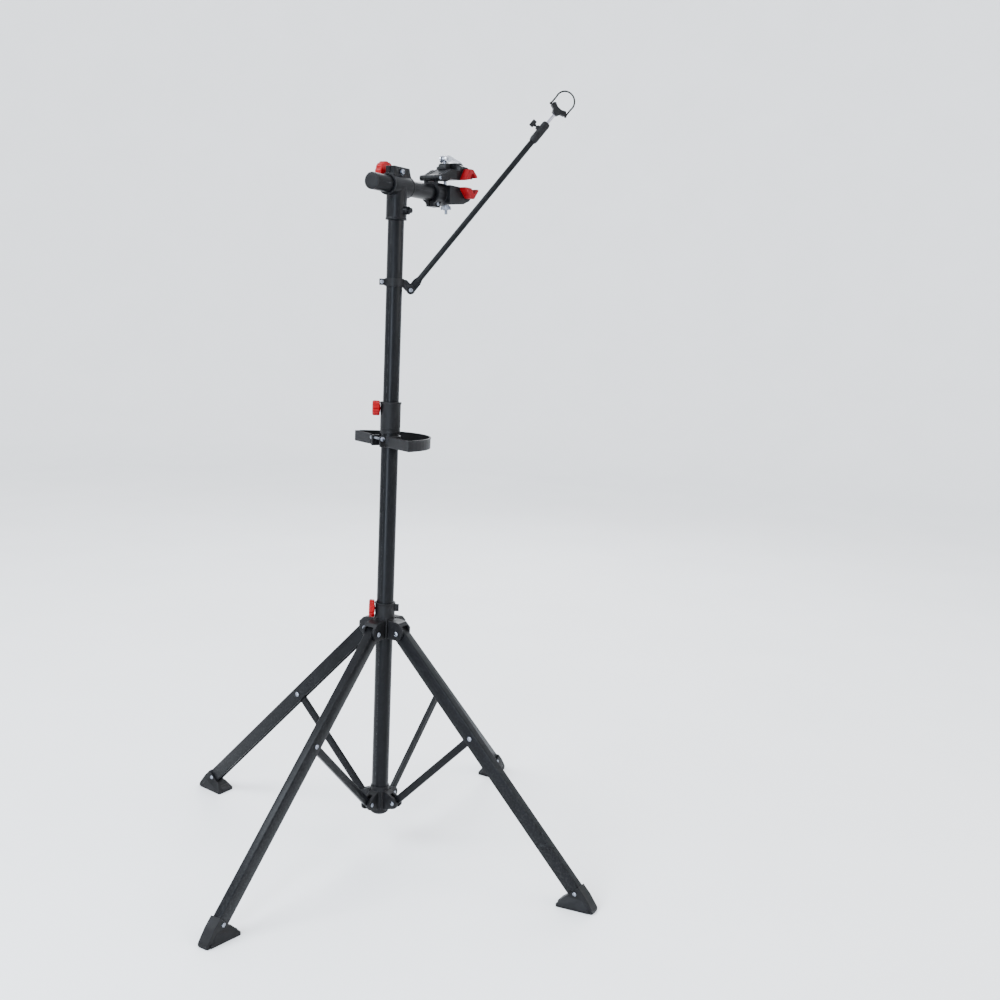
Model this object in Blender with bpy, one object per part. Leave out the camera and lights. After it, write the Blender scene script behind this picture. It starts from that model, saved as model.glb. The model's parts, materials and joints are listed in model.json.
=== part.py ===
"""Folding bicycle repair stand: four folding legs, a two-piece mast with a tool tray,
a clamp head on a short cross tube, and a slim arm that steadies the handlebar.

Metres, +Z up. The origin is on the floor under the post, and +X points along the
cross tube towards the clamp. Run: blender --background --python part.py
"""

import math

import bmesh
import bpy
from mathutils import Matrix, Vector

# Clearance between touching pieces, and the distance that welds a Boolean's seams
GAP = 0.0003
WELD = 1e-6

# Mast
POST_RADIUS = 0.0185
MAST_RADIUS = 0.0170
TUBE_WALL = 0.0012
POST_BOTTOM = 0.080
POST_TOP = 0.985
MAST_BOTTOM = 0.620
MAST_TOP = 1.412
COLLAR_BOTTOM = 0.923
COLLAR_TOP = 0.990
SLEEVE_RADIUS = 0.0215
KNOB_AZIMUTH = math.radians(126)

# Legs: both hubs hold their pivots at one radius, and both links have one length
PIVOT_RADIUS = 0.042
BASE_PIVOT_Z = 0.105
HUB_PIVOT_Z = 0.493
LINK = 0.2734
LEG_REACH = 0.649
SPREAD = math.acos((HUB_PIVOT_Z - BASE_PIVOT_Z) / 2 / LINK)
ELBOW_RADIUS = PIVOT_RADIUS + LINK * math.sin(SPREAD)
ELBOW_Z = (HUB_PIVOT_Z + BASE_PIVOT_Z) / 2
LEG_AZIMUTHS = {"front": 0, "left": 90, "back": 180, "right": 270}
LEG_HALF_DEPTH = 0.015
LEG_HALF_WIDTH = 0.0095
LEG_WALL = 0.0018
STRUT_HALF_DEPTH = 0.008
STRUT_HALF_WIDTH = 0.00425
PIN_RADIUS = 0.003

# Hubs
HUB_LOBE_HALF_WIDTH = 0.0155
BASE_LOBE_HALF_WIDTH = 0.0105
HUB_TOP = 0.555

# Feet, measured from the foot rivet
FOOT_PIVOT_Z = HUB_PIVOT_Z - LEG_REACH * math.cos(SPREAD)
FOOT_TOE = 0.0418
FOOT_HEEL = 0.0370
FOOT_HEEL_HALF_WIDTH = 0.0240

# Tray
TRAY_TURN = math.radians(-23)
TRAY_BOTTOM = 0.896
TRAY_TOP = 0.919
TRAY_RADIUS = 0.112
TRAY_CENTRE = -0.030
TRAY_FRONT = -0.0225
TRAY_WALL = 0.0025
TRAY_BOLT_X = -0.0265
TRAY_BOLT_Z = 0.9125

# Head
HEAD_Z = 1.434
TEE_HALF_LENGTH = 0.035
TEE_BOTTOM = 1.365
TEE_BOLT_Z = 0.027
HEAD_TUBE_BACK = -0.0835
HEAD_TUBE_FRONT = 0.160
HEAD_CAP_BACK = -0.088

# Clamp, measured from the cross tube's axis
COLLAR_BACK = 0.120
COLLAR_BOLT_X = 0.1370
COLLAR_BOLT_Z = -0.0215
JAW_FRONT = 0.2450
JAW_HALF_WIDTH = 0.032
JAW_FLOOR = -0.019
JAW_LOWER_TOP = 0.0190
JAW_UPPER_BOTTOM = 0.0330
JAW_HINGE = Vector((0.120, 0, 0.0305))
KNUCKLE_RADIUS = 0.0062
PAD_HALF_LENGTH = 0.047
PAD_BACK = 0.1890
PAD_FRONT = 0.2415
LEVER_PIN = Vector((0.172, 0, 0.0765))
BOLT_TILT = math.radians(6.5)
BOLT_RADIUS = 0.0035
BOLT_LENGTH = 0.1165

# Steadying arm
ARM_AZIMUTH = math.radians(-48.6)
ARM_BAND_Z = 1.2385
ARM_PIVOT = Vector((0.034, 0, -0.0145))
ARM_LEAN = math.radians(37.7)
ARM_TUBE_RADIUS = 0.006
ARM_ROD_RADIUS = 0.0033
ARM_COLLAR_BOTTOM = 0.401
ARM_COLLAR_TOP = 0.450
ARM_SCREW_Z = 0.430
CRADLE_Z = 0.4780
STRAP_RADIUS = 0.00175


def clear_scene():
    for old in list(bpy.data.objects):
        bpy.data.objects.remove(old)


# Frames and transforms


def moved(bm, matrix):
    bmesh.ops.transform(bm, matrix=matrix, verts=bm.verts)
    return bm


def shifted(bm, x=0.0, y=0.0, z=0.0):
    return moved(bm, Matrix.Translation((x, y, z)))


def turned_to_x(bm):
    """Lays what was built along Z along X instead."""
    return moved(bm, Matrix.Rotation(math.pi / 2, 4, "Y"))


def turned_to_y(bm):
    """Lays what was built along Z along Y instead."""
    return moved(bm, Matrix.Rotation(-math.pi / 2, 4, "X"))


def spun(bm, angle):
    return moved(bm, Matrix.Rotation(angle, 4, "Z"))


def pivot(name, location, rotation=(0, 0, 0), parent=None):
    """An empty on a joint's axis, which carries the pieces that move with it."""
    empty = bpy.data.objects.new(name, None)
    empty.location = location
    empty.rotation_euler = rotation
    empty.parent = parent
    empty.empty_display_size = 0.02
    bpy.context.scene.collection.objects.link(empty)
    return empty


# Shapes


def faced_out(bm):
    bmesh.ops.recalc_face_normals(bm, faces=bm.faces)
    return bm


def arc(centre_x, centre_y, radius, start, end, steps):
    """Points on an arc, with its angles in degrees."""
    points = []
    for step in range(steps + 1):
        angle = math.radians(start + (end - start) * step / steps)
        points.append((centre_x + radius * math.cos(angle), centre_y + radius * math.sin(angle)))
    return points


def plate(outline, bottom, top):
    """An outline in the XY plane, given a thickness along Z."""
    bm = bmesh.new()
    face = bm.faces.new([bm.verts.new((x, y, bottom)) for x, y in outline])
    made = bmesh.ops.extrude_face_region(bm, geom=[face])["geom"]
    raised = [item for item in made if isinstance(item, bmesh.types.BMVert)]
    bmesh.ops.translate(bm, verts=raised, vec=(0, 0, top - bottom))
    return faced_out(bm)


def side_plate(outline, start, end):
    """An outline of (x, z) points, given a thickness along Y."""
    bm = bmesh.new()
    face = bm.faces.new([bm.verts.new((x, start, z)) for x, z in outline])
    made = bmesh.ops.extrude_face_region(bm, geom=[face])["geom"]
    raised = [item for item in made if isinstance(item, bmesh.types.BMVert)]
    bmesh.ops.translate(bm, verts=raised, vec=(0, end - start, 0))
    return faced_out(bm)


def slab(outline, half_width):
    return side_plate(outline, -half_width, half_width)


def block(x, y, z):
    """A box from three pairs of limits."""
    outline = [(x[0], y[0]), (x[1], y[0]), (x[1], y[1]), (x[0], y[1])]
    return plate(outline, z[0], z[1])


def lathe(profile, segments):
    """Spins a closed profile of (radius, z) points about Z."""
    bm = bmesh.new()
    rings = []
    for radius, z in profile:
        if radius == 0:
            rings.append([bm.verts.new((0, 0, z))])
            continue
        ring = []
        for step in range(segments):
            angle = 2 * math.pi * step / segments
            ring.append(bm.verts.new((radius * math.cos(angle), radius * math.sin(angle), z)))
        rings.append(ring)
    for ring, above in zip(rings, rings[1:] + rings[:1]):
        if len(ring) == 1 and len(above) == 1:
            continue
        for step in range(segments):
            after = (step + 1) % segments
            corners = [ring[step % len(ring)], ring[after % len(ring)]]
            corners += [above[after % len(above)], above[step % len(above)]]
            bm.faces.new(list(dict.fromkeys(corners)))
    return faced_out(bm)


def rod(radius, bottom, top, segments=24):
    return lathe([(0, bottom), (radius, bottom), (radius, top), (0, top)], segments)


def pipe(outer, inner, bottom, top, segments=32):
    return lathe([(inner, bottom), (outer, bottom), (outer, top), (inner, top)], segments)


def hull(points):
    bm = bmesh.new()
    for point in points:
        bm.verts.new(point)
    bmesh.ops.convex_hull(bm, input=bm.verts)
    return faced_out(bm)


def scratch_object(bm):
    mesh = bpy.data.meshes.new("scratch")
    faced_out(bm).to_mesh(mesh)
    bm.free()
    obj = bpy.data.objects.new("scratch", mesh)
    bpy.context.scene.collection.objects.link(obj)
    return obj


def combined(first, second, operation):
    """Two shapes made into one by an exact Boolean."""
    body = scratch_object(first)
    tool = scratch_object(second)
    boolean = body.modifiers.new("combine", "BOOLEAN")
    boolean.object = tool
    boolean.operation = operation
    graph = bpy.context.evaluated_depsgraph_get()
    result = bmesh.new()
    result.from_object(body, graph)
    bmesh.ops.remove_doubles(result, verts=result.verts, dist=WELD)
    for used in (body, tool):
        mesh = used.data
        bpy.data.objects.remove(used)
        bpy.data.meshes.remove(mesh)
    return result


def joined(first, *others):
    for other in others:
        first = combined(first, other, "UNION")
    return first


def cut(first, *tools):
    for tool in tools:
        first = combined(first, tool, "DIFFERENCE")
    return first


def rivet(half_grip, head_radius, head_height, segments=12):
    """A headed pin along Z, with its middle at the origin."""
    crown = half_grip + head_height
    shoulder = half_grip + 0.45 * head_height
    profile = [
        (0, -crown),
        (0.62 * head_radius, -crown),
        (head_radius, -shoulder),
        (head_radius, -half_grip),
        (PIN_RADIUS, -half_grip),
        (PIN_RADIUS, half_grip),
        (head_radius, half_grip),
        (head_radius, shoulder),
        (0.62 * head_radius, crown),
        (0, crown),
    ]
    return lathe(profile, segments)


def fluted_knob(radius, thickness, flutes, stem_radius, stem_length, stud_radius, stud_length):
    """A grip knob whose axis is Z: its stem and stud run down from z = 0."""
    outline = []
    for step in range(flutes * 4):
        wave = 0.06 if step % 4 == 0 else 0.0
        angle = 2 * math.pi * step / (flutes * 4)
        outline.append((radius * (1 - wave) * math.cos(angle), radius * (1 - wave) * math.sin(angle)))
    grip = plate(outline, 0, thickness)
    stem = rod(stem_radius, -stem_length, thickness / 3, 16)
    stud = rod(stud_radius, -stem_length - stud_length, thickness / 2, 12)
    return joined(grip, stem, stud)


# Materials


def finish(name, colour, roughness, metallic=0.0):
    material = bpy.data.materials.new(name)
    material.use_nodes = True
    shader = material.node_tree.nodes["Principled BSDF"]
    shader.inputs["Base Color"].default_value = (*colour, 1)
    shader.inputs["Roughness"].default_value = roughness
    shader.inputs["Metallic"].default_value = metallic
    material.diffuse_color = (*colour, 1)
    return material


def all_finishes():
    return {
        "black_paint": finish("black_paint", (0.022, 0.023, 0.026), 0.35),
        "black_plastic": finish("black_plastic", (0.018, 0.018, 0.019), 0.55),
        "red_plastic": finish("red_plastic", (0.62, 0.010, 0.012), 0.30),
        "red_rubber": finish("red_rubber", (0.50, 0.008, 0.020), 0.60),
        "black_rubber": finish("black_rubber", (0.012, 0.012, 0.012), 0.75),
        "zinc": finish("zinc", (0.62, 0.63, 0.66), 0.30, 1.0),
        "chrome": finish("chrome", (0.80, 0.80, 0.82), 0.12, 1.0),
        "steel_rod": finish("steel_rod", (0.55, 0.56, 0.60), 0.25, 1.0),
    }


def place(name, bm, material, parent=None, location=(0, 0, 0), rotation=(0, 0, 0)):
    """Adds a finished piece to the scene, in the frame of its parent."""
    mesh = bpy.data.meshes.new(name)
    faced_out(bm).to_mesh(mesh)
    bm.free()
    mesh.materials.append(material)
    mesh.shade_smooth()
    mesh.set_sharp_from_angle(angle=math.radians(35))
    obj = bpy.data.objects.new(name, mesh)
    obj.parent = parent
    obj.location = location
    obj.rotation_euler = rotation
    bpy.context.scene.collection.objects.link(obj)
    return obj


# Mast


def add_post(looks):
    stud_hole = shifted(turned_to_x(rod(PIN_RADIUS + 2 * GAP, 0, 0.03, 12)), z=0.976)
    post = pipe(POST_RADIUS, POST_RADIUS - TUBE_WALL, POST_BOTTOM, POST_TOP)
    place("lower_post", cut(post, spun(stud_hole, KNOB_AZIMUTH)), looks["black_paint"])


def add_post_collar(looks):
    """The sleeve on the lower post's top, whose rim guides the mast."""
    sleeve = lathe(
        [
            (POST_RADIUS + GAP, COLLAR_BOTTOM),
            (SLEEVE_RADIUS, COLLAR_BOTTOM),
            (SLEEVE_RADIUS, COLLAR_TOP - 0.005),
            (0.0226, COLLAR_TOP - 0.004),
            (0.0226, COLLAR_TOP),
            (MAST_RADIUS + GAP, COLLAR_TOP),
            (MAST_RADIUS + GAP, POST_TOP + GAP),
            (POST_RADIUS + GAP, POST_TOP + GAP),
        ],
        32,
    )
    stud_hole = shifted(turned_to_x(rod(PIN_RADIUS + GAP, 0.01, 0.03, 12)), z=0.976)
    place("post_collar", cut(sleeve, spun(stud_hole, KNOB_AZIMUTH)), looks["black_plastic"])


def add_side_knob(name, looks, parent, z, radius, thickness, reach):
    """A grip screw that points at the post's axis and clamps what is inside."""
    axis = pivot(name + "_axis", (0, 0, z), (0, math.pi / 2, KNOB_AZIMUTH), parent)
    stem_length = 0.004
    base = SLEEVE_RADIUS + GAP + stem_length
    knob = fluted_knob(radius, thickness, 8, 0.008, stem_length, PIN_RADIUS, SLEEVE_RADIUS + GAP - reach)
    place(name, shifted(knob, z=base), looks["red_plastic"], axis)


def add_mast(looks):
    height = pivot("mast_slide", (0, 0, MAST_BOTTOM))
    tube = pipe(MAST_RADIUS, MAST_RADIUS - TUBE_WALL, 0, MAST_TOP - MAST_BOTTOM)
    place("mast", tube, looks["black_paint"], height)
    return height


# Hubs and legs


def pin_holes(z):
    """Cutters for the pins across a hub's four lobes."""
    holes = []
    for azimuth in LEG_AZIMUTHS.values():
        hole = turned_to_y(rod(PIN_RADIUS + GAP, -0.03, 0.03, 12))
        hole = shifted(hole, x=PIVOT_RADIUS, z=z)
        holes.append(spun(hole, math.radians(azimuth)))
    return holes


def lobes(outline, half_width):
    """Four lobes round the post, one for each leg."""
    made = []
    for azimuth in LEG_AZIMUTHS.values():
        made.append(spun(slab(outline, half_width), math.radians(azimuth)))
    return made


def add_base_hub(looks):
    cup = lathe(
        [
            (0, 0.073),
            (0.0165, 0.073),
            (0.0205, 0.077),
            (0.0205, 0.137),
            (POST_RADIUS + GAP, 0.137),
            (POST_RADIUS + GAP, POST_BOTTOM - GAP),
            (0, POST_BOTTOM - GAP),
        ],
        32,
    )
    outline = [(0.0195, 0.086)]
    outline += arc(PIVOT_RADIUS, BASE_PIVOT_Z, 0.0125, -80, 80, 6)
    outline += [(0.0195, 0.128)]
    hub = joined(cup, *lobes(outline, BASE_LOBE_HALF_WIDTH))
    slot_half = STRUT_HALF_WIDTH + 2 * GAP
    slot = [(0.0315, 0.07), (0.07, 0.07), (0.07, 0.14), (0.0315, 0.14)]
    hub = cut(hub, *lobes(slot, slot_half))
    hub = cut(hub, *pin_holes(BASE_PIVOT_Z))
    place("base_hub", hub, looks["black_plastic"])


def add_upper_hub(looks, parent):
    """The sliding hub, in a frame whose origin is on the first leg's hub pivot height."""
    lift = -HUB_PIVOT_Z
    sleeve = lathe(
        [
            (POST_RADIUS + GAP, 0.478),
            (SLEEVE_RADIUS, 0.478),
            (SLEEVE_RADIUS, HUB_TOP - 0.0045),
            (0.0226, HUB_TOP - 0.0035),
            (0.0226, HUB_TOP),
            (POST_RADIUS + GAP, HUB_TOP),
        ],
        32,
    )
    outline = [
        (0.0195, 0.478),
        (0.0440, 0.478),
        (0.0535, 0.4835),
        (0.0580, 0.4930),
        (0.0580, 0.5060),
        (0.0470, 0.5165),
        (0.0300, 0.5190),
        (0.0195, 0.5190),
    ]
    nut_boss = shifted(turned_to_x(rod(0.0085, 0.0195, 0.030, 6)), z=0.5425)
    nut_boss = spun(nut_boss, KNOB_AZIMUTH + math.pi)
    hub = joined(sleeve, *lobes(outline, HUB_LOBE_HALF_WIDTH), nut_boss)
    slot_half = LEG_HALF_WIDTH + 2 * GAP
    slot = [(0.0262, 0.46), (0.08, 0.46), (0.08, 0.5095), (0.0262, 0.5095)]
    hub = cut(hub, *lobes(slot, slot_half))
    hub = cut(hub, *pin_holes(HUB_PIVOT_Z))
    stud_hole = shifted(turned_to_x(rod(PIN_RADIUS + GAP, 0.01, 0.03, 12)), z=0.5405)
    hub = cut(hub, spun(stud_hole, KNOB_AZIMUTH))
    place("upper_hub", shifted(hub, z=lift), looks["black_plastic"], parent)


def add_pins(prefix, looks, parents, location, half_grip, head_radius, head_height):
    """One hinge pin for each leg, lying across its leg."""
    for side, parent in parents.items():
        turn = (math.pi / 2, 0, 0)
        pin = rivet(half_grip, head_radius, head_height)
        place(f"{prefix}_{side}", pin, looks["zinc"], parent, location, turn)


def leg_channel():
    """A folded channel, open on its underside, from the elbow up to the hub and down to the foot."""
    bottom = LINK - LEG_REACH - 0.012
    outline = [(-LEG_HALF_DEPTH, bottom), (LEG_HALF_DEPTH, bottom)]
    outline += arc(0, LINK, LEG_HALF_DEPTH, 0, 180, 10)
    inside = LEG_HALF_WIDTH - LEG_WALL
    hollow = block((-0.03, LEG_HALF_DEPTH - LEG_WALL), (-inside, inside), (bottom - 0.01, LINK + 0.03))
    channel = cut(slab(outline, LEG_HALF_WIDTH), hollow)
    for z in (LINK, 0, LINK - LEG_REACH):
        channel = cut(channel, shifted(turned_to_y(rod(PIN_RADIUS + GAP, -0.02, 0.02, 12)), z=z))
    return channel


def strut_bar():
    """A flat bar from the base hub to the elbow, with a boss that fills the leg's channel."""
    outline = arc(0, 0, STRUT_HALF_DEPTH, 180, 360, 8) + arc(0, LINK, STRUT_HALF_DEPTH, 0, 180, 8)
    boss_half = LEG_HALF_WIDTH - LEG_WALL - GAP
    boss = shifted(turned_to_y(rod(0.0062, -boss_half, boss_half, 16)), z=LINK)
    bar = joined(slab(outline, STRUT_HALF_WIDTH), boss)
    for z in (0, LINK):
        bar = cut(bar, shifted(turned_to_y(rod(PIN_RADIUS + GAP, -0.02, 0.02, 12)), z=z))
    return bar


def foot_shoe():
    """A moulded shoe with a socket for the leg, level with the floor, its origin on the rivet."""
    sole = -FOOT_PIVOT_Z
    ridge = slab(
        [
            (-FOOT_HEEL, sole),
            (0.0400, sole),
            (FOOT_TOE, sole + 0.0020),
            (FOOT_TOE, sole + 0.0070),
            (0.0385, sole + 0.0125),
            (0.0232, 0.0005),
            (0.0077, 0.0161),
            (-0.0169, -0.0083),
            (-FOOT_HEEL, sole + 0.0090),
        ],
        0.0125,
    )
    corners = []
    for side in (-1, 1):
        for z in (sole, sole + 0.0055):
            corners.append((-FOOT_HEEL, side * (FOOT_HEEL_HALF_WIDTH - 0.003), z))
            corners.append((-FOOT_HEEL + 0.003, side * FOOT_HEEL_HALF_WIDTH, z))
            corners.append((0.0280, side * 0.0150, z))
            corners.append((FOOT_TOE, side * 0.0090, z))
        corners.append((-0.0200, side * 0.0125, sole + 0.0240))
        corners.append((0.0180, side * 0.0125, sole + 0.0240))
    socket = block(
        (-LEG_HALF_DEPTH - GAP, LEG_HALF_DEPTH + GAP),
        (-LEG_HALF_WIDTH - GAP, LEG_HALF_WIDTH + GAP),
        (-0.012 - GAP, 0.06),
    )
    socket = moved(socket, Matrix.Rotation(-SPREAD, 4, "Y"))
    return cut(joined(ridge, hull(corners)), socket)


def add_legs(looks):
    """Each strut swings on the base hub, and each leg on its strut's elbow."""
    bases = {}
    struts = {}
    elbows = {}
    for side, degrees in LEG_AZIMUTHS.items():
        azimuth = math.radians(degrees)
        outward = Vector((math.cos(azimuth), math.sin(azimuth), 0))
        base = PIVOT_RADIUS * outward + Vector((0, 0, BASE_PIVOT_Z))
        elbow = ELBOW_RADIUS * outward + Vector((0, 0, ELBOW_Z))
        bases[side] = pivot(f"base_{side}", base, (0, 0, azimuth))
        struts[side] = pivot(f"strut_{side}_base", base, (0, SPREAD, azimuth))
        elbows[side] = pivot(f"leg_{side}_elbow", elbow, (0, -SPREAD, azimuth))
        place(f"strut_{side}", strut_bar(), looks["black_paint"], struts[side])
        place(f"leg_{side}", leg_channel(), looks["black_paint"], elbows[side])
        foot_at = (0, 0, LINK - LEG_REACH)
        place(f"foot_{side}", foot_shoe(), looks["black_plastic"], elbows[side], foot_at, (0, SPREAD, 0))
    base_grip = BASE_LOBE_HALF_WIDTH + GAP
    add_pins("base_pin", looks, bases, (0, 0, 0), base_grip, 0.0048, 0.0022)
    add_pins("elbow_pin", looks, elbows, (0, 0, 0), LEG_HALF_WIDTH + GAP, 0.0055, 0.0030)


def add_hub_group(looks):
    rise = pivot("upper_hub_on_leg", (PIVOT_RADIUS, 0, HUB_PIVOT_Z))
    centre = pivot("upper_hub_centre", (-PIVOT_RADIUS, 0, 0), (0, 0, 0), rise)
    add_upper_hub(looks, centre)
    seats = {}
    for side, degrees in LEG_AZIMUTHS.items():
        azimuth = math.radians(degrees)
        seat = (PIVOT_RADIUS * math.cos(azimuth), PIVOT_RADIUS * math.sin(azimuth), 0)
        seats[side] = pivot(f"hub_seat_{side}", seat, (0, 0, azimuth), centre)
    hub_grip = HUB_LOBE_HALF_WIDTH + GAP
    add_pins("hub_pin", looks, seats, (0, 0, 0), hub_grip, 0.0055, 0.0028)
    add_side_knob("hub_knob", looks, centre, 0.5405 - HUB_PIVOT_Z, 0.0195, 0.012, POST_RADIUS + GAP)


# Tray


def tray_outline(inset):
    """A half round with a straight front edge."""
    radius = TRAY_RADIUS - inset
    front = TRAY_FRONT + inset
    end = math.degrees(math.acos((front - TRAY_CENTRE) / radius))
    return arc(TRAY_CENTRE, 0, radius, -end, end, 28)


def add_tray(looks):
    """The tray grips the lower post with two ears and a bolt in front of it."""
    turn = pivot("tray_swivel", (0, 0, 0), (0, 0, TRAY_TURN))
    tray = plate(tray_outline(0), TRAY_BOTTOM, TRAY_TOP)
    tray = cut(tray, plate(tray_outline(TRAY_WALL), TRAY_BOTTOM + TRAY_WALL, TRAY_TOP + 0.01))
    lip = TRAY_BOTTOM + TRAY_WALL + 0.0004
    front_gap = block((-0.03, TRAY_FRONT + TRAY_WALL + 0.0005), (-0.030, 0.042), (lip, 0.93))
    tray = cut(tray, front_gap)
    socket = rod(0.0238, TRAY_BOTTOM - 0.0010, TRAY_TOP - 0.0006, 32)
    right_ear = block((-0.0310, -0.0120), (-0.0140, -0.0080), (TRAY_BOTTOM - 0.0006, TRAY_TOP - 0.0010))
    left_ear = block((-0.0310, -0.0120), (0.0200, 0.0260), (TRAY_BOTTOM - 0.0006, TRAY_TOP - 0.0010))
    tray = joined(tray, socket, right_ear, left_ear)
    bore = rod(POST_RADIUS + GAP, TRAY_BOTTOM - 0.01, TRAY_TOP + 0.01, 32)
    throat = block((-0.04, -0.0030), (-0.0080, 0.0200), (TRAY_BOTTOM - 0.01, TRAY_TOP + 0.01))
    bolt_hole = shifted(turned_to_y(rod(0.0028, -0.04, 0.04, 12)), x=TRAY_BOLT_X, z=TRAY_BOLT_Z)
    tray = cut(tray, bore, throat, bolt_hole)
    place("tray", tray, looks["black_plastic"], turn)
    bolt = joined(
        rod(0.0025, -0.0165, 0.0315, 12),
        rod(0.0048, -0.0182, -0.0140 - GAP, 12),
        rod(0.0048, 0.0260 + GAP, 0.0300, 6),
    )
    place("tray_bolt", shifted(turned_to_y(bolt), x=TRAY_BOLT_X, z=TRAY_BOLT_Z), looks["zinc"], turn)


# Head


def add_tee(looks, parent):
    """The tee sits on the mast and grips the cross tube between two ears."""
    lift = -MAST_BOTTOM
    sleeve = rod(SLEEVE_RADIUS, TEE_BOTTOM, HEAD_Z, 32)
    barrel = turned_to_x(rod(SLEEVE_RADIUS, -TEE_HALF_LENGTH, TEE_HALF_LENGTH, 32))
    barrel = shifted(barrel, z=HEAD_Z)
    ears = [
        (-0.026, HEAD_Z + 0.010),
        (0.0345, HEAD_Z + 0.010),
        (0.0345, HEAD_Z + 0.0195),
        (0.030, HEAD_Z + 0.0290),
        (0.028, HEAD_Z + 0.0370),
        (-0.026, HEAD_Z + 0.0370),
    ]
    boss = shifted(turned_to_y(rod(0.0085, -0.0315, -0.0190, 16)), z=1.3840)
    tee = joined(sleeve, barrel, slab(ears, 0.011), boss)
    mast_bore = rod(MAST_RADIUS + GAP, TEE_BOTTOM - 0.01, MAST_TOP + GAP, 32)
    tube_bore = shifted(turned_to_x(rod(MAST_RADIUS + GAP, -0.05, 0.05, 32)), z=HEAD_Z)
    slit = block((-0.05, 0.05), (-0.0010, 0.0010), (HEAD_Z + 0.012, HEAD_Z + 0.05))
    bolt_z = HEAD_Z + TEE_BOLT_Z
    bolt_hole = shifted(turned_to_y(rod(PIN_RADIUS + GAP, -0.03, 0.03, 12)), z=bolt_z)
    screw_hole = shifted(turned_to_y(rod(PIN_RADIUS + GAP, -0.04, -0.01, 12)), z=1.3840)
    tee = cut(tee, mast_bore, tube_bore, slit, bolt_hole, screw_hole)
    place("head_tee", shifted(tee, z=lift), looks["black_paint"], parent)
    bolt = joined(rod(PIN_RADIUS, -0.0125, 0.0330, 12), rod(0.0055, -0.0165, -0.0110 - GAP, 12))
    place("tee_bolt", shifted(turned_to_y(bolt), z=bolt_z + lift), looks["zinc"], parent)
    screw = joined(rod(PIN_RADIUS, -0.0330, -0.0175, 12), rod(0.0060, -0.0375, -0.0315 - GAP, 6))
    place("tee_screw", shifted(turned_to_y(screw), z=1.3840 + lift), looks["black_paint"], parent)


def add_tee_knob(looks, parent):
    """The grip nut on the tee bolt's far end."""
    axis = pivot("tee_knob_axis", (0, 0, HEAD_Z + TEE_BOLT_Z - MAST_BOTTOM), (-math.pi / 2, 0, 0), parent)
    knob = fluted_knob(0.0205, 0.0190, 8, 0.0085, 0.0230 - 0.0110 - GAP, 0.0085, -0.004)
    knob = cut(shifted(knob, z=0.0230), rod(PIN_RADIUS + GAP, 0, 0.0335, 12))
    place("tee_knob", knob, looks["red_plastic"], axis)


def add_head_tube(looks, parent):
    slide = pivot("head_tube_slide", (0, 0, HEAD_Z - MAST_BOTTOM), (0, 0, 0), parent)
    inner = MAST_RADIUS - TUBE_WALL
    tube = turned_to_x(pipe(MAST_RADIUS, inner, HEAD_TUBE_BACK, HEAD_TUBE_FRONT))
    place("head_tube", tube, looks["black_paint"], slide)
    cap = lathe(
        [
            (0, HEAD_CAP_BACK),
            (0.0155, HEAD_CAP_BACK),
            (MAST_RADIUS, HEAD_CAP_BACK + 0.0015),
            (MAST_RADIUS, HEAD_TUBE_BACK - GAP),
            (inner - GAP, HEAD_TUBE_BACK - GAP),
            (inner - GAP, -0.072),
            (0, -0.072),
        ],
        32,
    )
    place("head_tube_cap", turned_to_x(cap), looks["black_plastic"], slide)
    return slide


# Clamp


def lower_pad_outline(grow):
    """Half a hexagon, open upwards, with its ends at the jaw's mouth."""
    return [
        (PAD_BACK - grow, JAW_LOWER_TOP),
        (PAD_BACK - grow, 0.0150),
        (0.2105, -0.0030 - grow),
        (0.2250, -0.0030 - grow),
        (PAD_FRONT + grow, 0.0150),
        (PAD_FRONT + grow, JAW_LOWER_TOP),
    ]


def upper_pad_outline(grow, back_end, front_end):
    """Half a hexagon, open downwards, with its two ends at the heights given."""
    return [
        (0.1880 - grow, back_end),
        (0.1880 - grow, 0.0360),
        (0.2035, 0.0590 + grow),
        (0.2170, 0.0590 + grow),
        (0.2345 + grow, 0.0470),
        (0.2345 + grow, front_end),
    ]


def knuckle(start, end, web):
    """A round eye on the jaw hinge from y = start to y = end, with a web below or in front."""
    eye = turned_to_y(rod(KNUCKLE_RADIUS, start, end, 16))
    eye = shifted(eye, JAW_HINGE.x, 0, JAW_HINGE.z)
    return joined(eye, side_plate(web, start, end))


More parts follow.
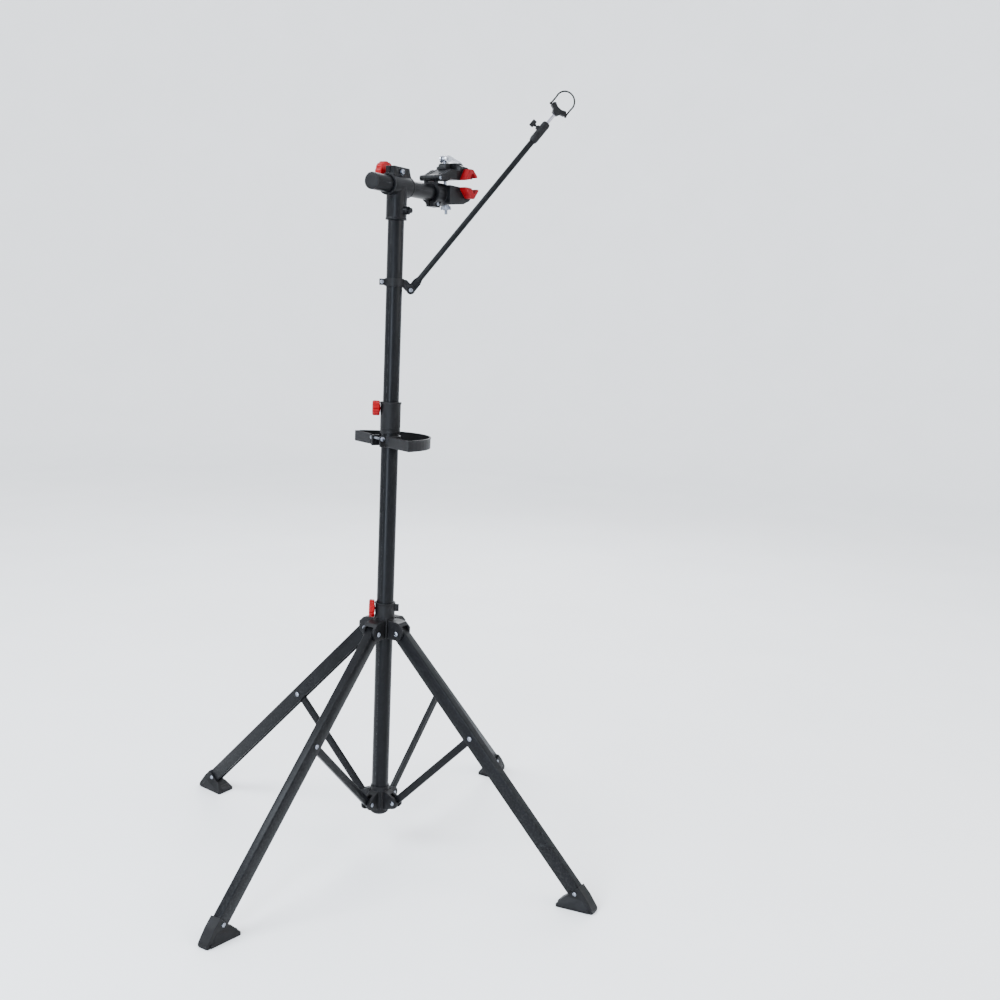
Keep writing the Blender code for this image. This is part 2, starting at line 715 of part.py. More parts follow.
def add_lower_jaw(looks, parent):
    """The collar and the lower jaw are one casting."""
    collar = turned_to_x(rod(0.0240, COLLAR_BACK, 0.1660, 32))
    body = slab(
        [
            (0.1500, -0.0180),
            (0.1540, -0.0222),
            (0.2060, -0.0160),
            (0.2290, -0.0070),
            (JAW_FRONT, 0.0110),
            (JAW_FRONT, JAW_LOWER_TOP),
            (0.1500, JAW_LOWER_TOP),
        ],
        JAW_HALF_WIDTH,
    )
    ears = block((COLLAR_BACK, 0.1480), (-0.0090, 0.0090), (-0.0290, -0.0180))
    web = [(COLLAR_BACK, 0.0150), (0.1262, 0.0150), (0.1262, 0.0305), (COLLAR_BACK, 0.0305)]
    jaw = joined(collar, body, ears, knuckle(-0.0168, -0.0087, web), knuckle(0.0087, 0.0168, web))
    bore = turned_to_x(rod(MAST_RADIUS + GAP, COLLAR_BACK - 0.02, HEAD_TUBE_FRONT + GAP, 32))
    slit = block((COLLAR_BACK - 0.02, 0.1485), (-0.0010, 0.0010), (-0.04, -0.0150))
    grow = GAP
    trough = slab(lower_pad_outline(grow), JAW_HALF_WIDTH + 0.01)
    mouth = block((PAD_BACK - grow, PAD_FRONT + grow), (-0.05, 0.05), (JAW_LOWER_TOP - 0.001, 0.03))
    bolt_slot = block((0.1690, 0.1870), (-0.0042, 0.0042), (-0.03, 0.03))
    ear_bolt_hole = shifted(turned_to_y(rod(0.0028, -0.02, 0.02, 12)), x=COLLAR_BOLT_X, z=COLLAR_BOLT_Z)
    seats = []
    for start, end in ((-0.03, -0.0090), (0.0090, 0.03)):
        seat = turned_to_y(rod(0.0052, start, end, 16))
        seats.append(shifted(seat, x=COLLAR_BOLT_X, z=COLLAR_BOLT_Z))
    pin_hole = shifted(turned_to_y(rod(0.0028, -0.04, 0.04, 12)), JAW_HINGE.x, 0, JAW_HINGE.z)
    jaw = cut(jaw, bore, slit, trough, mouth, bolt_slot, ear_bolt_hole, pin_hole, *seats)
    place("lower_jaw", jaw, looks["black_paint"], parent)
    ear_bolt = joined(
        rod(0.0025, -0.0120, 0.0130, 12),
        rod(0.0046, -0.0130, -0.0090 - GAP, 12),
        rod(0.0046, 0.0090 + GAP, 0.0125, 6),
    )
    ear_bolt = shifted(turned_to_y(ear_bolt), x=COLLAR_BOLT_X, z=COLLAR_BOLT_Z)
    place("collar_bolt", ear_bolt, looks["zinc"], parent)
    pin = joined(
        rod(0.0025, -0.0260, 0.0260, 12),
        rod(0.0040, -0.0275, -0.0250 - GAP, 12),
    )
    pin = shifted(turned_to_y(pin), JAW_HINGE.x, 0, JAW_HINGE.z)
    place("jaw_pin", pin, looks["zinc"], parent)


def jaw_pad(outline, groove):
    pad = slab(outline, PAD_HALF_LENGTH)
    return cut(pad, slab(groove, PAD_HALF_LENGTH + 0.01))


def add_upper_jaw(looks, parent):
    """The hinged jaw: a tail that slopes up from the hinge to a domed mouth."""
    side = slab(
        [
            (0.1290, 0.0265),
            (0.1500, 0.0265),
            (0.1560, JAW_UPPER_BOTTOM),
            (0.2050, JAW_UPPER_BOTTOM),
            (0.2385, 0.0415),
            (0.2385, 0.0490),
            (0.2200, 0.0625),
            (0.2010, 0.0670),
            (0.1930, 0.0675),
            (0.1890, 0.0625),
            (0.1870, 0.0535),
            (0.1600, 0.0525),
            (0.1300, 0.0385),
            (0.1250, 0.0366),
        ],
        JAW_HALF_WIDTH,
    )
    plan = [
        (0.1200, -0.0250),
        (0.1500, -0.0262),
        (0.1750, -JAW_HALF_WIDTH),
        (JAW_FRONT + 0.001, -JAW_HALF_WIDTH),
        (JAW_FRONT + 0.001, JAW_HALF_WIDTH),
        (0.1750, JAW_HALF_WIDTH),
        (0.1500, 0.0262),
        (0.1200, 0.0250),
    ]
    crown = [(-0.034, 0.02), (0.034, 0.02), (0.034, 0.058)]
    crown += arc(0.0, -0.005, 0.0755, 64, 116, 10)
    crown += [(-0.034, 0.058)]
    vault = plate([(-z, y) for y, z in crown], 0.11, 0.25)
    vault = turned_to_x(vault)
    jaw = combined(side, plate(plan, 0, 0.09), "INTERSECT")
    jaw = combined(jaw, vault, "INTERSECT")
    web = [(0.1200, 0.0366), (0.1200, 0.0243), (0.1330, 0.0265), (0.1330, 0.0398)]
    clearance = [(0.1000, 0.0100), (0.1280, 0.0100), (0.1280, 0.0420), (0.1000, 0.0420)]
    for start, end in ((-0.0171, -0.0084), (0.0084, 0.0171)):
        jaw = cut(jaw, side_plate(clearance, start, end))
    for start, end in ((-0.0250, -0.0171), (-0.0084, 0.0084), (0.0171, 0.0250)):
        jaw = joined(jaw, knuckle(start, end, web))
    grow = GAP
    trough = slab(upper_pad_outline(grow, 0.020, 0.020), 0.05)
    bolt_slot = block((0.1655, 0.1836), (-0.0042, 0.0042), (0.02, 0.06))
    pin_hole = shifted(turned_to_y(rod(0.0028, -0.04, 0.04, 12)), JAW_HINGE.x, 0, JAW_HINGE.z)
    jaw = cut(jaw, trough, bolt_slot, pin_hole)
    home = -JAW_HINGE
    place("upper_jaw", shifted(jaw, *home), looks["black_paint"], parent)
    groove = [(0.1985, 0.0298), (0.2155, 0.0525), (0.2310, 0.0416)]
    pad = jaw_pad(upper_pad_outline(0, JAW_UPPER_BOTTOM, 0.0430), groove)
    place("upper_pad", shifted(pad, *home), looks["red_rubber"], parent)
    saddle = joined(
        block((0.1610, 0.1835), (-0.0100, 0.0100), (0.0535 + GAP, 0.0600)),
        shifted(turned_to_y(rod(0.0090, -0.0100, 0.0100, 20)), x=LEVER_PIN.x, z=0.0590),
    )
    saddle = cut(
        saddle,
        block((0.15, 0.20), (-0.02, 0.02), (0.04, 0.0535 + GAP)),
        shifted(turned_to_y(rod(0.0084, -0.02, 0.02, 20)), x=LEVER_PIN.x, z=LEVER_PIN.z),
        block((0.1670, 0.1798), (-0.0042, 0.0042), (0.04, 0.08)),
    )
    place("cam_saddle", shifted(saddle, *home), looks["black_plastic"], parent)


def add_lower_pad(looks, parent):
    groove = [(0.2110, 0.0200), (0.2240, 0.0070), (0.2370, 0.0200)]
    pad = jaw_pad(lower_pad_outline(0), groove)
    place("lower_pad", pad, looks["red_rubber"], parent)


def add_clamp(looks, slide):
    turn = pivot("clamp_turn", (0, 0, 0), (0, 0, 0), slide)
    add_lower_jaw(looks, turn)
    add_lower_pad(looks, turn)
    hinge = pivot("jaw_hinge", JAW_HINGE, (0, 0, 0), turn)
    add_upper_jaw(looks, hinge)
    swing = pivot("clamp_bolt_swing", LEVER_PIN - JAW_HINGE, (0, -BOLT_TILT, 0), hinge)
    bolt = joined(
        rod(BOLT_RADIUS, -BOLT_LENGTH, 0, 16),
        turned_to_y(rod(0.0055, -0.0045, 0.0045, 16)),
    )
    bolt = cut(bolt, turned_to_y(rod(PIN_RADIUS + GAP, -0.02, 0.02, 12)))
    place("clamp_bolt", bolt, looks["zinc"], swing)
    lever_pin = turned_to_y(rod(PIN_RADIUS, -0.0088, 0.0088, 12))
    place("lever_pin", lever_pin, looks["zinc"], swing)
    add_cam_lever(looks, pivot("cam_lever_hinge", (0, 0, 0), (0, BOLT_TILT, 0), swing))
    add_tension_nut(looks, turn)


def add_cam_lever(looks, hinge):
    """Two cam cheeks on the lever pin, and a blade that lies over the upper jaw when locked."""
    cheek = [(0.0000, -0.0080), (0.0120, -0.0030), (0.0160, 0.0010), (0.0160, 0.0065), (0.0090, 0.0085)]
    cheek += arc(0, 0, 0.0080, 80, 270, 12)[:-1]
    blade_side = [
        (0.0095, 0.0020),
        (0.0640, -0.0035),
        (0.0650, -0.0015),
        (0.0640, 0.0005),
        (0.0160, 0.0068),
        (0.0095, 0.0080),
    ]
    blade_plan = [
        (0.0050, -0.0090),
        (0.0180, -0.0090),
        (0.0580, -0.0062),
        (0.0660, -0.0035),
        (0.0660, 0.0035),
        (0.0580, 0.0062),
        (0.0180, 0.0090),
        (0.0050, 0.0090),
    ]
    blade = combined(slab(blade_side, 0.012), plate(blade_plan, -0.02, 0.02), "INTERSECT")
    lever = joined(blade, side_plate(cheek, -0.0090, -0.0052), side_plate(cheek, 0.0052, 0.0090))
    lever = cut(lever, turned_to_y(rod(PIN_RADIUS + GAP, -0.02, 0.02, 12)))
    place("cam_lever", lever, looks["chrome"], hinge)


def add_tension_nut(looks, turn):
    """The wing nut under the lower jaw, on the bolt's line."""
    reach = (LEVER_PIN.z - JAW_FLOOR) / math.cos(BOLT_TILT) + 0.0002
    top = LEVER_PIN + Vector((math.sin(BOLT_TILT), 0, -math.cos(BOLT_TILT))) * reach
    axis = pivot("tension_nut_axis", top, (0, -BOLT_TILT, 0), turn)
    bore = 0.0051
    nut = lathe([(bore, 0), (0.0078, 0), (0.0078, -0.0040), (0.0062, -0.0115), (bore, -0.0115)], 16)
    wing = [(0.0055, -0.0010), (0.0120, -0.0035), (0.0135, -0.0090), (0.0115, -0.0110), (0.0055, -0.0090)]
    for side in (1, -1):
        nut = joined(nut, slab([(side * x, z) for x, z in wing], 0.0016))
    place("tension_nut", nut, looks["zinc"], axis, (0, 0, 0), (0, 0, math.pi / 2))


# Steadying arm


def add_arm(looks, mast):
    swivel = pivot("arm_swivel", (0, 0, ARM_BAND_Z - MAST_BOTTOM), (0, 0, ARM_AZIMUTH), mast)
    ring = rod(0.0203, -0.0080, 0.0080, 32)
    ears = block((-0.0310, -0.0150), (-0.0060, 0.0060), (-0.0065, 0.0065))
    bracket = [(0.0150, 0.0070), (0.0250, 0.0060)]
    bracket += arc(ARM_PIVOT.x, ARM_PIVOT.z, 0.0090, 30, -100, 6)
    bracket += [(0.0150, -0.0070)]
    band = joined(ring, ears, slab(bracket, 0.0080))
    fork_slot = block((0.0235, 0.06), (-0.0048, 0.0048), (-0.03, 0.03))
    bore = rod(MAST_RADIUS + GAP, -0.03, 0.03, 32)
    slit = block((-0.04, -0.0150), (-0.0010, 0.0010), (-0.02, 0.02))
    band_bolt_hole = shifted(turned_to_y(rod(0.0028, -0.02, 0.02, 12)), x=-0.0262)
    pivot_hole = shifted(turned_to_y(rod(0.0028, -0.02, 0.02, 12)), x=ARM_PIVOT.x, z=ARM_PIVOT.z)
    band = cut(band, fork_slot, bore, slit, band_bolt_hole, pivot_hole)
    place("arm_band", band, looks["black_plastic"], swivel)
    for name, x, z, half_grip in (
        ("band_bolt", -0.0262, 0, 0.0060),
        ("arm_pivot_bolt", ARM_PIVOT.x, ARM_PIVOT.z, 0.0080),
    ):
        bolt = joined(
            rod(0.0025, -half_grip - 0.003, half_grip + 0.003, 12),
            rod(0.0045, -half_grip - 0.0035, -half_grip - GAP, 12),
            rod(0.0045, half_grip + GAP, half_grip + 0.0030, 6),
        )
        place(name, shifted(turned_to_y(bolt), x=x, z=z), looks["zinc"], swivel)
    tilt = pivot("arm_tilt", ARM_PIVOT, (0, ARM_LEAN, 0), swivel)
    add_arm_tube(looks, tilt)
    add_arm_rod(looks, tilt)


def add_arm_tube(looks, tilt):
    lug = arc(0, 0, 0.0085, 180, 360, 8)
    lug += [(0.0085, 0.0220), (0.0055, 0.0320), (-0.0055, 0.0320), (-0.0085, 0.0220)]
    tube = joined(slab(lug, 0.0044), rod(ARM_TUBE_RADIUS, 0.0240, ARM_COLLAR_TOP - 0.010, 20))
    tube = cut(
        tube,
        rod(0.0042, 0.0380, ARM_COLLAR_TOP, 16),
        turned_to_y(rod(0.0028, -0.02, 0.02, 12)),
        shifted(turned_to_x(rod(0.0023, -0.01, 0, 12)), z=ARM_SCREW_Z),
    )
    place("arm_tube", tube, looks["black_paint"], tilt)
    collar = lathe(
        [
            (ARM_TUBE_RADIUS + GAP, ARM_COLLAR_BOTTOM),
            (0.0075, ARM_COLLAR_BOTTOM),
            (0.0088, ARM_COLLAR_BOTTOM + 0.006),
            (0.0088, ARM_COLLAR_TOP - 0.004),
            (0.0072, ARM_COLLAR_TOP),
            (ARM_ROD_RADIUS + GAP, ARM_COLLAR_TOP),
            (ARM_ROD_RADIUS + GAP, ARM_COLLAR_TOP - 0.010 + GAP),
            (ARM_TUBE_RADIUS + GAP, ARM_COLLAR_TOP - 0.010 + GAP),
        ],
        24,
    )
    screw_boss = shifted(turned_to_x(rod(0.0050, -0.0125, -0.0070, 12)), z=ARM_SCREW_Z)
    bore = rod(ARM_TUBE_RADIUS + GAP, ARM_COLLAR_BOTTOM - 0.01, ARM_COLLAR_TOP - 0.010 + GAP, 24)
    screw_hole = shifted(turned_to_x(rod(0.0023, -0.02, 0, 12)), z=ARM_SCREW_Z)
    collar = cut(joined(collar, screw_boss), bore, screw_hole)
    place("arm_collar", collar, looks["black_plastic"], tilt)
    axis = pivot("arm_screw_axis", (0, 0, ARM_SCREW_Z), (0, -math.pi / 2, 0), tilt)
    screw = fluted_knob(0.0078, 0.0060, 4, 0.0030, 0.0060, 0.0020, 0.0100)
    place("arm_screw", shifted(screw, z=0.0210), looks["black_plastic"], axis)


def add_arm_rod(looks, tilt):
    """The thin rod slides in the arm's tube and carries the cradle and its rubber loop."""
    slide = pivot("arm_slide", (0, 0, CRADLE_Z), (0, 0, 0), tilt)
    place("arm_rod", rod(ARM_ROD_RADIUS, -0.300, 0.0060, 16), looks["steel_rod"], slide)
    turn = pivot("cradle_turn", (0, 0, 0), (0, 0, 0), slide)
    outline = [
        (-0.0060, -0.0040),
        (0.0060, -0.0040),
        (0.0095, 0.0030),
        (0.0180, 0.0060),
        (0.0180, 0.0125),
        (0.0140, 0.0160),
        (0.0050, 0.0115),
        (-0.0050, 0.0115),
        (-0.0140, 0.0160),
        (-0.0180, 0.0125),
        (-0.0180, 0.0060),
        (-0.0095, 0.0030),
    ]
    cradle = cut(slab(outline, 0.0065), rod(ARM_ROD_RADIUS + GAP, -0.01, 0.0063, 16))
    place("cradle", cradle, looks["black_plastic"], turn)
    add_strap(looks, turn)


def add_strap(looks, turn):
    """A rubber loop that stands over the cradle, its ends on the cradle's horns."""
    loop = [(-0.0205, 0.0060), (-0.0205, 0.0150)]
    loop += arc(0, 0.0310, 0.0205, 200, -20, 20)
    loop += [(0.0205, 0.0150), (0.0205, 0.0060)]
    curve = bpy.data.curves.new("cradle_strap", "CURVE")
    curve.dimensions = "3D"
    curve.bevel_depth = STRAP_RADIUS
    curve.bevel_resolution = 2
    curve.use_fill_caps = True
    spline = curve.splines.new("POLY")
    spline.points.add(len(loop) - 1)
    for point, (x, z) in zip(spline.points, loop):
        point.co = (x, 0, z, 1)
    curve.materials.append(looks["black_rubber"])
    strap = bpy.data.objects.new("cradle_strap", curve)
    strap.parent = turn
    bpy.context.scene.collection.objects.link(strap)


def main():
    clear_scene()
    looks = all_finishes()
    add_post(looks)
    add_base_hub(looks)
    add_post_collar(looks)
    add_side_knob("collar_knob", looks, None, 0.976, 0.0160, 0.016, MAST_RADIUS + GAP)
    add_legs(looks)
    add_hub_group(looks)
    add_tray(looks)
    mast = add_mast(looks)
    add_tee(looks, mast)
    add_tee_knob(looks, mast)
    slide = add_head_tube(looks, mast)
    add_clamp(looks, slide)
    add_arm(looks, mast)


main()
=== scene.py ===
"""Looks for the folding bicycle repair stand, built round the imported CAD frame.

Metres, +Z up, the frame's own axes. Castings and mouldings are the CAD solids with
ribs and beads added and every edge rounded by a voxel skin; turned, folded and bent
pieces are built here from profiles.
"""

import json
import math

import bmesh
import bpy
from mathutils import Matrix, Vector


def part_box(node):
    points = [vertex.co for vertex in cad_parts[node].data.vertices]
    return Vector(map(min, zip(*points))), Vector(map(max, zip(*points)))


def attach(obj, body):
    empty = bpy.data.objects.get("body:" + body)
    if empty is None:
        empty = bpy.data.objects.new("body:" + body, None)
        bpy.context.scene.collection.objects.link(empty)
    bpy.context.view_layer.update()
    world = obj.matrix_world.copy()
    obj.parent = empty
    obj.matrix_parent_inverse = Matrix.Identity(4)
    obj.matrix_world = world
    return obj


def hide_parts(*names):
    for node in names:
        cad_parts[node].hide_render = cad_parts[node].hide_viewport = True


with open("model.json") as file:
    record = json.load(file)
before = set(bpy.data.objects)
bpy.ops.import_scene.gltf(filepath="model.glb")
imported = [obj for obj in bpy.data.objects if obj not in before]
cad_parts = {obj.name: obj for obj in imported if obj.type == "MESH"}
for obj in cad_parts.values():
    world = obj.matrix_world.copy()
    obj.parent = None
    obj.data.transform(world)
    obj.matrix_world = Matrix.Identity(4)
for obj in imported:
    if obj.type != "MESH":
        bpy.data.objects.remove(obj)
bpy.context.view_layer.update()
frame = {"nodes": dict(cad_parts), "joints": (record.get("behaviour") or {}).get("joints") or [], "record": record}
RECORD = frame["record"]
BODIES = RECORD["behaviour"]["bodies"]
BODY_OF = {node: body for body, nodes in BODIES.items() for node in nodes}
SLOT_OF = {row["node"]: row["material_slot"] for row in RECORD["subparts"]}
JOINTS = {joint["name"]: joint for joint in frame["joints"]}
SIDES = {"front": 0, "left": 90, "back": 180, "right": 270}
X, Y, Z = Vector((1, 0, 0)), Vector((0, 1, 0)), Vector((0, 0, 1))

# Points closer than this are merged, in metres
WELD = 1e-6

# Sizes that the frame's boxes don't give, in metres, and the tray's turn about the post,
# in radians. PIN_HEADS is how high the heads of each kind of pin stand.
TUBE_WALL = 0.0012
TUBE_EDGE = 0.0005
SLIDE_GAP = 0.0003
WASHER = 0.0007
FOOT_RIVET_RISE = 0.012
SIDE_KNOB_SHIFT = 0.0030
TRAY_TURN = math.radians(-23)
TRAY_RIM_Z = 0.919
TRAY_FLOOR_Z = 0.8985
TRAY_RADIUS = 0.112
TRAY_CENTRE = -0.030
TRAY_WALL = 0.0025
ARM_SCREW_Z = 0.430
PIN_HEADS = (("base_pin", 0.0022), ("elbow_pin", 0.0030), ("hub_pin", 0.0028))
STRAP_RADIUS = 0.00175
STRAP_HALF_WIDTH = 0.0205

# The camera's place in metres, its directions, and its lens and sensor in millimetres
CAMERA_PLACE = (-1.9684, -1.4288, 1.1699)
CAMERA_RIGHT = (0.5102, -0.8590, 0.0434)
CAMERA_UP = (0.1116, 0.1161, 0.9869)
CAMERA_LENS = 41.15
SENSOR_WIDTH = 36.0

# The studio's sweep: where its floor ends, its bend, its top and its steps round
FLOOR_RADIUS = 6.5
SWEEP_BEND = 1.5
WALL_TOP = 4.0
SWEEP_SEGMENTS = 96


# Measuring the frame


def joint_at(name):
    return Vector(JOINTS[name]["pos_m"])


def joint_axis(name):
    return Vector(JOINTS[name]["axis"]).normalized()


def centre(node):
    low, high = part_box(node)
    return (low + high) / 2


def span(node, origin, axis):
    """How far a node reaches below and above origin, along axis."""
    reach = [(v.co - origin).dot(axis) for v in frame["nodes"][node].data.vertices]
    return min(reach), max(reach)


def stand_along(origin, axis, towards=None):
    """The matrix of a place whose Z axis lies along axis and whose X axis leans towards
    a direction."""
    up = axis.normalized()
    lean = towards if towards is not None else (X if abs(up.x) < 0.9 else Y)
    side = (lean - lean.dot(up) * up).normalized()
    turn = Matrix((side, up.cross(side), up)).transposed().to_4x4()
    return Matrix.Translation(origin) @ turn


# Shapes


def moved(bm, matrix):
    bmesh.ops.transform(bm, matrix=matrix, verts=bm.verts)
    return bm


def shifted(bm, x=0.0, y=0.0, z=0.0):
    return moved(bm, Matrix.Translation((x, y, z)))


def turned_to_x(bm):
    return moved(bm, Matrix.Rotation(math.pi / 2, 4, "Y"))


def turned_to_y(bm):
    return moved(bm, Matrix.Rotation(-math.pi / 2, 4, "X"))


def spun(bm, angle):
    return moved(bm, Matrix.Rotation(angle, 4, "Z"))


def faced_out(bm):
    bmesh.ops.recalc_face_normals(bm, faces=bm.faces)
    return bm


def arc(centre_x, centre_y, radius, start, end, steps):
    """Points on an arc, with its angles in degrees."""
    points = []
    for step in range(steps + 1):
        angle = math.radians(start + (end - start) * step / steps)
        points.append((centre_x + radius * math.cos(angle), centre_y + radius * math.sin(angle)))
    return points


def plate(outline, bottom, top):
    """An outline in the XY plane, given a thickness along Z."""
    bm = bmesh.new()
    face = bm.faces.new([bm.verts.new((x, y, bottom)) for x, y in outline])
    made = bmesh.ops.extrude_face_region(bm, geom=[face])["geom"]
    raised = [item for item in made if isinstance(item, bmesh.types.BMVert)]
    bmesh.ops.translate(bm, verts=raised, vec=(0, 0, top - bottom))
    return faced_out(bm)


def side_plate(outline, start, end):
    """An outline of (x, z) points, given a thickness along Y."""
    flipped = plate([(x, -z) for x, z in outline], start, end)
    return turned_to_y(flipped)


def slab(outline, half_width):
    return side_plate(outline, -half_width, half_width)


def block(x, y, z):
    outline = [(x[0], y[0]), (x[1], y[0]), (x[1], y[1]), (x[0], y[1])]
    return plate(outline, z[0], z[1])


def lathe(profile, segments=64, flutes=0, depth=0.0, fluted=(0.0, 0.0)):
    """Spins a closed profile of (radius, z) about Z. Rings between the fluted heights are
    scalloped."""
    bm = bmesh.new()
    rings = []
    for radius, z in profile:
        if radius == 0:
            rings.append([bm.verts.new((0, 0, z))])
            continue
        ring = []
        for step in range(segments):
            angle = 2 * math.pi * step / segments
            r = radius
            if flutes and fluted[0] <= z <= fluted[1]:
                r -= depth * max(0.0, math.cos(flutes * angle)) ** 1.5
            ring.append(bm.verts.new((r * math.cos(angle), r * math.sin(angle), z)))
        rings.append(ring)
    for ring, above in zip(rings, rings[1:] + rings[:1]):
        if len(ring) == 1 and len(above) == 1:
            continue
        for step in range(segments):
            after = (step + 1) % segments
            corners = [ring[step % len(ring)], ring[after % len(ring)]]
            corners += [above[after % len(above)], above[step % len(above)]]
            bm.faces.new(list(dict.fromkeys(corners)))
    return faced_out(bm)


def round_corner(radius, z, size, quarter):
    """Points round a profile's corner: quarter 0 is the outer bottom, 1 the outer top,
    2 the inner top and 3 the inner bottom."""
    start = (-90, 0, 90, 180)[quarter]
    centre_r = radius - size if quarter in (0, 1) else radius + size
    centre_z = z + size if quarter in (0, 3) else z - size
    return arc(centre_r, centre_z, size, start, start + 90, 3)


def rounded_rod(radius, bottom, top, size, segments=48):
    profile = [(0, bottom)] + round_corner(radius, bottom, size, 0)
    profile += round_corner(radius, top, size, 1) + [(0, top)]
    return lathe(profile, segments)


def rod(radius, bottom, top, segments=32):
    return lathe([(0, bottom), (radius, bottom), (radius, top), (0, top)], segments)


def rounded_pipe(outer, inner, bottom, top, size, segments=64):
    profile = round_corner(outer, bottom, size, 0) + round_corner(outer, top, size, 1)
    profile += round_corner(inner, top, size, 2) + round_corner(inner, bottom, size, 3)
    return lathe(profile, segments)


def scratch_object(bm):
    mesh = bpy.data.meshes.new("scratch")
    faced_out(bm).to_mesh(mesh)
    bm.free()
    obj = bpy.data.objects.new("scratch", mesh)
    bpy.context.scene.collection.objects.link(obj)
    return obj


def drop(*objects):
    for obj in objects:
        mesh = obj.data
        bpy.data.objects.remove(obj)
        bpy.data.meshes.remove(mesh)


def evaluated(obj):
    graph = bpy.context.evaluated_depsgraph_get()
    result = bmesh.new()
    result.from_object(obj, graph)
    return result


def combined(first, second, operation):
    body = scratch_object(first)
    tool = scratch_object(second)
    boolean = body.modifiers.new("combine", "BOOLEAN")
    boolean.object = tool
    boolean.operation = operation
    result = evaluated(body)
    bmesh.ops.remove_doubles(result, verts=result.verts, dist=WELD)
    drop(body, tool)
    return result


def joined(first, *others):
    for other in others:
        first = combined(first, other, "UNION")
    return first


def cut(first, *tools):
    for tool in tools:
        first = combined(first, tool, "DIFFERENCE")
    return first


def pooled(first, *others):
    """Shapes in one mesh, overlapping as they are: for a voxel skin, which makes one solid
    of them."""
    for other in others:
        mesh = bpy.data.meshes.new("scratch")
        faced_out(other).to_mesh(mesh)
        other.free()
        first.from_mesh(mesh)
        bpy.data.meshes.remove(mesh)
    return first


def cad_solid(node):
    bm = bmesh.new()
    bm.from_mesh(frame["nodes"][node].data)
    bmesh.ops.remove_doubles(bm, verts=bm.verts, dist=WELD)
    return bm


def skinned(bm, voxel, rounds, keep=0.4):
    """One solid with soft edges, as a casting or moulding has."""
    obj = scratch_object(bm)
    remesh = obj.modifiers.new("skin", "REMESH")
    remesh.mode = "VOXEL"
    remesh.voxel_size = voxel
    smooth = obj.modifiers.new("soften", "SMOOTH")
    smooth.factor = 0.5
    smooth.iterations = rounds
    thin = obj.modifiers.new("thin", "DECIMATE")
    thin.ratio = keep
    result = evaluated(obj)
    drop(obj)
    return result


def bevelled(bm, width, segments=2, angle=35):
    obj = scratch_object(bm)
    merge = obj.modifiers.new("flat", "DECIMATE")
    merge.decimate_type = "DISSOLVE"
    merge.angle_limit = math.radians(0.5)
    bevel = obj.modifiers.new("bevel", "BEVEL")
    bevel.width = width
    bevel.segments = segments
    bevel.limit_method = "ANGLE"
    bevel.angle_limit = math.radians(angle)
    result = evaluated(obj)
    drop(obj)
    return result


def tube_along(points, radius, sides=16):
    """A round bar through the points, with rounded ends."""
    bm = bmesh.new()
    count = len(points)
    rings = []
    start = (points[1] - points[0]).normalized()
    side = start.orthogonal().normalized()
    for index, point in enumerate(points):
        before = points[max(index - 1, 0)]
        after = points[min(index + 1, count - 1)]
        along = (after - before).normalized()
        side = (side - side.dot(along) * along).normalized()
        other = along.cross(side)
        ring = []
        for step in range(sides):
            angle = 2 * math.pi * step / sides
            out = math.cos(angle) * side + math.sin(angle) * other
            ring.append(bm.verts.new(point + radius * out))
        rings.append(ring)
    for ring, after in zip(rings, rings[1:]):
        for step in range(sides):
            following = (step + 1) % sides
            bm.faces.new([ring[step], ring[following], after[following], after[step]])
    first_tip = points[0] - 0.6 * radius * start
    last_tip = points[-1] + 0.6 * radius * along
    for ring, tip in ((rings[0], first_tip), (rings[-1], last_tip)):
        point = bm.verts.new(tip)
        for step in range(sides):
            bm.faces.new([ring[step], ring[(step + 1) % sides], point])
    return faced_out(bm)


# Materials


